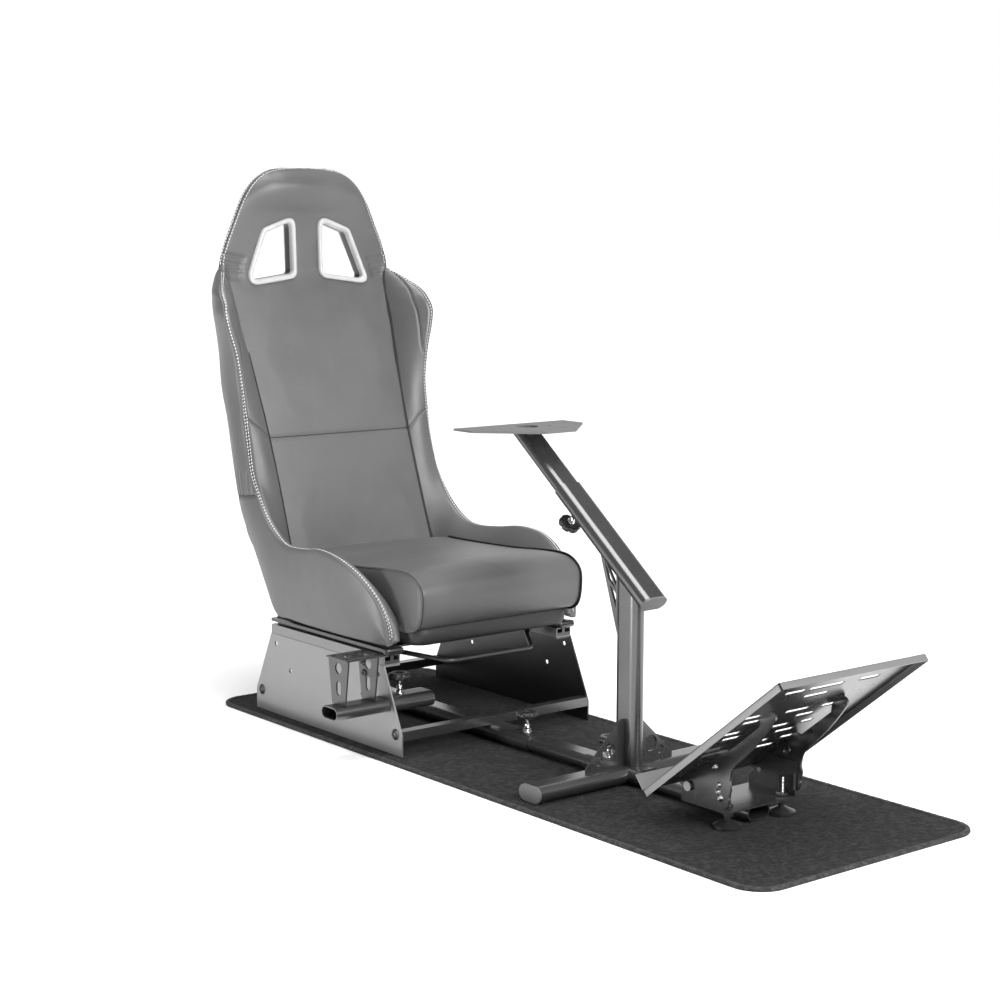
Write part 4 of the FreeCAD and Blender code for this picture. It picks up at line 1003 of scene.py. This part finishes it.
def pedalTray():
    s = traySpec
    slots = list(s["top"])
    for k in range(3):
        slots += [(x, half, up + k * s["pitch"]) for x, half, up in s["group"]]
    b, wide = s["bend"], s["slot"] / 2
    xs = {x + e * half for x, half, _ in slots for e in (-1, 1)} | {-s["half"] + b, s["half"] - b}
    ups = {up + e * wide for _, _, up in slots for e in (-1, 1)} | {s["low"] + b, s["high"] - b}
    xs, ups = sorted(xs), sorted(ups)
    left = foldStations(-s["half"], s["flange"], 1)
    right = foldStations(s["half"], s["flange"], 1)[::-1]
    across = left + [(x, 0.0) for x in xs] + right
    middle = (s["low"] + s["high"]) / 2
    lip = [(p + middle, d) for p, d in foldStations(s["low"] - middle, s["lip"], -1)]
    end = [(p + middle, d) for p, d in foldStations(s["high"] - middle, s["flange"], 1)][::-1]
    along = lip + [(up, 0.0) for up in ups] + end
    points, faces = [], []
    for up, drop in along:
        for x, fall in across:
            points.append(trayPoint(x, up, s["under"] + drop + fall))
    n = len(across)
    for j in range(len(along) - 1):
        for i in range(n - 1):
            folded = i < len(left) or i + 1 >= n - len(right)
            ended = j < len(lip) or j + 1 >= len(along) - len(end)
            x, up = (across[i][0] + across[i + 1][0]) / 2, (along[j][0] + along[j + 1][0]) / 2
            pierced = any(abs(x - at) < half and abs(up - place) < wide for at, half, place in slots)
            if not (folded and ended) and not pierced:
                faces.append((j * n + i, j * n + i + 1, (j + 1) * n + i + 1, (j + 1) * n + i))
    for x0, x1 in ((-s["half"], -s["half"] + b), (s["half"] - b, s["half"])):
        first = len(points)  # the heel lip's ends, past the side bends
        for up, drop in lip + [(ups[0], 0.0)]:
            points += [trayPoint(x0, up, s["under"] + drop), trayPoint(x1, up, s["under"] + drop)]
        faces += [(first + 2 * k, first + 2 * k + 1, first + 2 * k + 3, first + 2 * k + 2) for k in range(len(lip))]
    piece = addPiece("pedalTray", points, faces, ["tray", "slide"], "pedal_tray")
    # painted light and shade: faces across the deck take the near-black tray paint as the shaded underside, while faces
    # standing off it (folded flanges and lips) take the lighter slide grey as their lit side
    down = (trayPoint(0, 0, 1) - trayPoint(0, 0, 0)).normalized()
    for face in piece.data.polygons:
        face.material_index = int(abs(face.normal.dot(down)) < 0.5)
    wall = piece.modifiers.new("sheet", "SOLIDIFY")
    wall.thickness = s["sheet"] * mm
    wall.offset = 0
    settle(piece, wall)
    piece.data.set_sharp_from_angle(angle=math.radians(40))
    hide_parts("pedal_plate")


pedalTray()

# perforated deck of the shifter: corners, thickness, cut-outs as (x, y, half x, half y)
deckSpec = {
    "x": (-320, -240), "y": (186, 250), "z": (186.7, 189.4),
    "cuts": [(-311, 197, 3.2, 3.2), (-249, 197, 3.2, 3.2), (-311, 239, 3.2, 3.2), (-249, 239, 3.2, 3.2),
             (-280, 205, 17, 5), (-280, 231, 17, 5), (-299, 218, 4, 10), (-261, 218, 4, 10), (-280, 218, 8, 4)],
}


def shifterDeck():
    s = deckSpec
    xs = sorted({x + e * hx for x, _, hx, _ in s["cuts"] for e in (-1, 1)} | set(s["x"]))
    ys = sorted({y + e * hy for _, y, _, hy in s["cuts"] for e in (-1, 1)} | set(s["y"]))
    points = [(x, y, sum(s["z"]) / 2) for y in ys for x in xs]
    faces = []
    for j in range(len(ys) - 1):
        for i in range(len(xs) - 1):
            x, y = (xs[i] + xs[i + 1]) / 2, (ys[j] + ys[j + 1]) / 2
            if not any(abs(x - cx) < hx and abs(y - cy) < hy for cx, cy, hx, hy in s["cuts"]):
                a = j * len(xs) + i
                faces.append((a, a + 1, a + len(xs) + 1, a + len(xs)))
    piece = addPiece("shifterDeck", points, faces, ["plateDark"], "shifter", smooth=False)
    wall = piece.modifiers.new("sheet", "SOLIDIFY")
    wall.thickness = (s["z"][1] - s["z"][0]) * mm
    wall.offset = 0
    settle(piece, wall)
    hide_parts("shifter_plate")


shifterDeck()
print("sheet pieces made")

# latch housings on the front ends of the slides: middle across, body
latchSpec = {"half": 18.5, "y": (204, 217), "z": (181.5, 194), "round": 4,
             "places": {"right": -201.5, "left": 201.5}}


def slideLatch(end):
    s = latchSpec
    x0 = s["places"][end]
    r, points = s["round"], []
    rows = [(s["y"][0], 3.0), (s["y"][0] + 1, 1.2), (s["y"][0] + 3, 0.0), (s["y"][1] - 1, 0.0), (s["y"][1], 0.6)]
    for y, inset in rows:
        for cx, cz, start in ((1, 1, 0), (-1, 1, 90), (-1, -1, 180), (1, -1, 270)):
            for k in range(6):
                a = math.radians(start + 18 * k)
                midZ, halfZ = (s["z"][0] + s["z"][1]) / 2, (s["z"][1] - s["z"][0]) / 2
                points.append((x0 + cx * (s["half"] - r - inset) + r * math.cos(a), y,
                               midZ + cz * (halfZ - r - inset) + r * math.sin(a)))
    faces = loopFaces(len(rows), 24) + [tuple(range(24)), tuple(4 * 24 + k for k in range(24))]
    addPiece("slideLatch_" + end, points, faces, ["black"], "seat")


for latchEnd in latchSpec["places"]:
    slideLatch(latchEnd)

# hex nuts on the levelling feet
nutSpec = {"at": [(-61, -491), (61, -491)], "levels": [(23, 31.5), (36, 42)], "stud": (42, 66.5), "radius": 9}


def footNuts():
    s = nutSpec
    points, faces = [], []
    for x, y in s["at"]:
        for low, high in s["levels"]:
            rows = [(0.62, low), (0.9, low), (1.0, low + 0.8), (1.0, high - 0.8), (0.9, high), (0.62, high)]
            first = len(points)
            for share, z in rows:
                for k in range(24):
                    a = 2 * math.pi * k / 24
                    hexed = s["radius"] * share / max(math.cos(a % (math.pi / 3) - math.pi / 6), 0.86) * 0.9
                    points.append((x + hexed * math.cos(a), y + hexed * math.sin(a), z))
            faces += loopFaces(len(rows), 24, True, first)
        first, turns = len(points), 11  # thread of the stud's free end
        for k in range(turns * 2 + 1):
            z = s["stud"][0] + (s["stud"][1] - s["stud"][0]) * k / (turns * 2)
            for j in range(12):
                a = 2 * math.pi * j / 12
                r = 5.25 if k % 2 else 4.7
                points.append((x + r * math.cos(a), y + r * math.sin(a), z))
        faces += loopFaces(turns * 2 + 1, 12, False, first) + [tuple(first + turns * 24 + j for j in range(12))]
    piece = addPiece("footNuts", points, faces, ["chrome"], "pedal_frame")
    piece.data.set_sharp_from_angle(angle=math.radians(35))


footNuts()

# screws and nuts: place, axis, head radius, body, finish
boltSpec = {
    "plateFrontRight": ((-220, 181, 44), (-1, 0, 0), 7.5, "base", "boltBlack"),
    "plateRearRight": ((-220, 624, 45), (-1, 0, 0), 7.5, "base", "boltBlack"),
    "plateFrontLeft": ((220, 181, 44), (1, 0, 0), 7.5, "base", "boltBlack"),
    "plateRearLeft": ((220, 624, 45), (1, 0, 0), 7.5, "base", "boltBlack"),
    "plateFrontRightIn": ((-217, 181, 44), (1, 0, 0), 6, "base", "boltBlack"),
    "plateFrontLeftIn": ((217, 181, 44), (-1, 0, 0), 6, "base", "boltBlack"),
    "legUpper": ((-253, 232, 171), (-1, 0, 0), 5.5, "shifter", "boltBlack"),
    "legLower": ((-253, 229, 152), (-1, 0, 0), 5.5, "shifter", "boltBlack"),
}
for boltSide, boltEnd in ((-1, "Right"), (1, "Left")):
    for boltName, boltUp, boltOut, boltRad in (("toeHigh", 63, 29, 3.6), ("toeMid", 55, 37, 3.6),
                                               ("toeLow", 53, 47, 4.6), ("arm", 72, 2, 4.0)):
        boltAt = trayPoint(boltSide * 82.3, boltUp, boltOut)
        boltSpec[boltName + boltEnd] = (tuple(boltAt), (boltSide, 0, 0), boltRad, "pedal_tray", "bolt")


def buttonBolt(name, at, axis, radius, body, coat):
    turn = Vector((0, 0, 1)).rotation_difference(Vector(axis)).to_matrix()
    rings = [(1.35, 0.0), (1.35, 0.9), (1.28, 1.2), (1.0, 1.25), (0.98, 2.2), (0.86, 3.6), (0.66, 4.5), (0.50, 4.8),
             (0.46, 4.6), (0.44, 2.6), (0.0, 2.4)]
    points = []
    for i, (share, level) in enumerate(rings):
        for k in range(24):
            a = 2 * math.pi * k / 24
            r = radius * share
            if i >= 8:
                r /= max(math.cos((a % (math.pi / 3)) - math.pi / 6), 0.5) * 1.1
            points.append(turn @ Vector((r * math.cos(a), r * math.sin(a), level)) + Vector(at))
    addPiece("bolt_" + name, points, loopFaces(len(rings), 24) + [tuple(range(24))], [coat], body)


for boltName, boltPlace in boltSpec.items():
    buttonBolt(boltName, *boltPlace)
print("fasteners made")

# camera and light
cameraSpec = {"at": (-2.2757, -2.6822, 0.9524), "tilt": 82.126, "turn": -38.687, "roll": 0.14, "lens": 73.07}
cameraData = bpy.data.cameras.new("photoCamera")
cameraData.lens = cameraSpec["lens"]
cameraData.sensor_width = 36
camera = bpy.data.objects.new("photoCamera", cameraData)
camera.matrix_world = Matrix.Translation(cameraSpec["at"])
for turnKey, turnAxis in (("turn", "Z"), ("tilt", "X"), ("roll", "Z")):
    camera.matrix_world = camera.matrix_world @ Matrix.Rotation(math.radians(cameraSpec[turnKey]), 4, turnAxis)
scene.collection.objects.link(camera)
scene.camera = camera

lightSpec = {  # kind, place, aim, size or angle, power
    "overhead": ("SUN", (-0.1, -0.25, 2.8), (0, 0.1, 0.3), 50, 3.6),
    "keyFront": ("AREA", (0.4, -3.4, 2.2), (0, 0.3, 0.5), 2.6, 190),
    "keySide": ("AREA", (-2.5, 0.7, 0.2), (0, -0.2, 0.3), 0.55, 30),
}
for lightName, (lightKind, lightAt, lightTo, lightSize, lightPower) in lightSpec.items():
    data = bpy.data.lights.new(lightName, lightKind)
    if lightKind == "SUN":
        data.angle = math.radians(lightSize)
    else:
        data.shape = "DISK"
        data.size = lightSize
    data.energy = lightPower
    lamp = bpy.data.objects.new(lightName, data)
    lamp.location = lightAt
    lamp.rotation_euler = (Vector(lightTo) - Vector(lightAt)).to_track_quat("-Z", "Y").to_euler()
    scene.collection.objects.link(lamp)
skySpec = {"pale": 1.0, "shade": 0.22, "backdrop": (0.625, 0.78, 0.0), "start": 0.55, "stop": 0.93}
world = bpy.data.worlds.new("studio")
sky = Finish("studioSky", world, "Generated")
toward = sky.node("VectorMath", {"operation": "DOT_PRODUCT"}, {0: sky.place, 1: skySpec["backdrop"]}, "Value")
share = sky.ramp(toward, 1.0, 0.0, skySpec["start"], skySpec["stop"])
pale, shade = (sky.node("Background", None, {"Color": grey(skySpec[key])}) for key in ("pale", "shade"))
mixed = sky.node("MixShader", None, {0: share, 1: pale, 2: shade})
sky.tree.links.new(mixed.socket, sky.tree.nodes["World Output"].inputs["Surface"])
scene.world = world
scene.view_settings.view_transform = "Standard"

floorSpec = {"half": 60.0, "cells": 12}
floorMesh = bpy.data.meshes.new("studioFloor")
floorWork = bmesh.new()
bmesh.ops.create_grid(floorWork, x_segments=floorSpec["cells"], y_segments=floorSpec["cells"], size=floorSpec["half"])
floorWork.to_mesh(floorMesh)
floorWork.free()
floor = bpy.data.objects.new("studioFloor", floorMesh)
floorFinish = Finish("studioFloor")
floorGrain = floorFinish.cloud(3, 2)
floorFinish.give(color=floorFinish.blend(floorGrain, grey(0.90), grey(0.93)), roughness=0.9 + 0.05 * floorGrain,
                 specular=0.1)
floorMesh.materials.append(floorFinish.material)
scene.collection.objects.link(floor)
print("camera and light made")
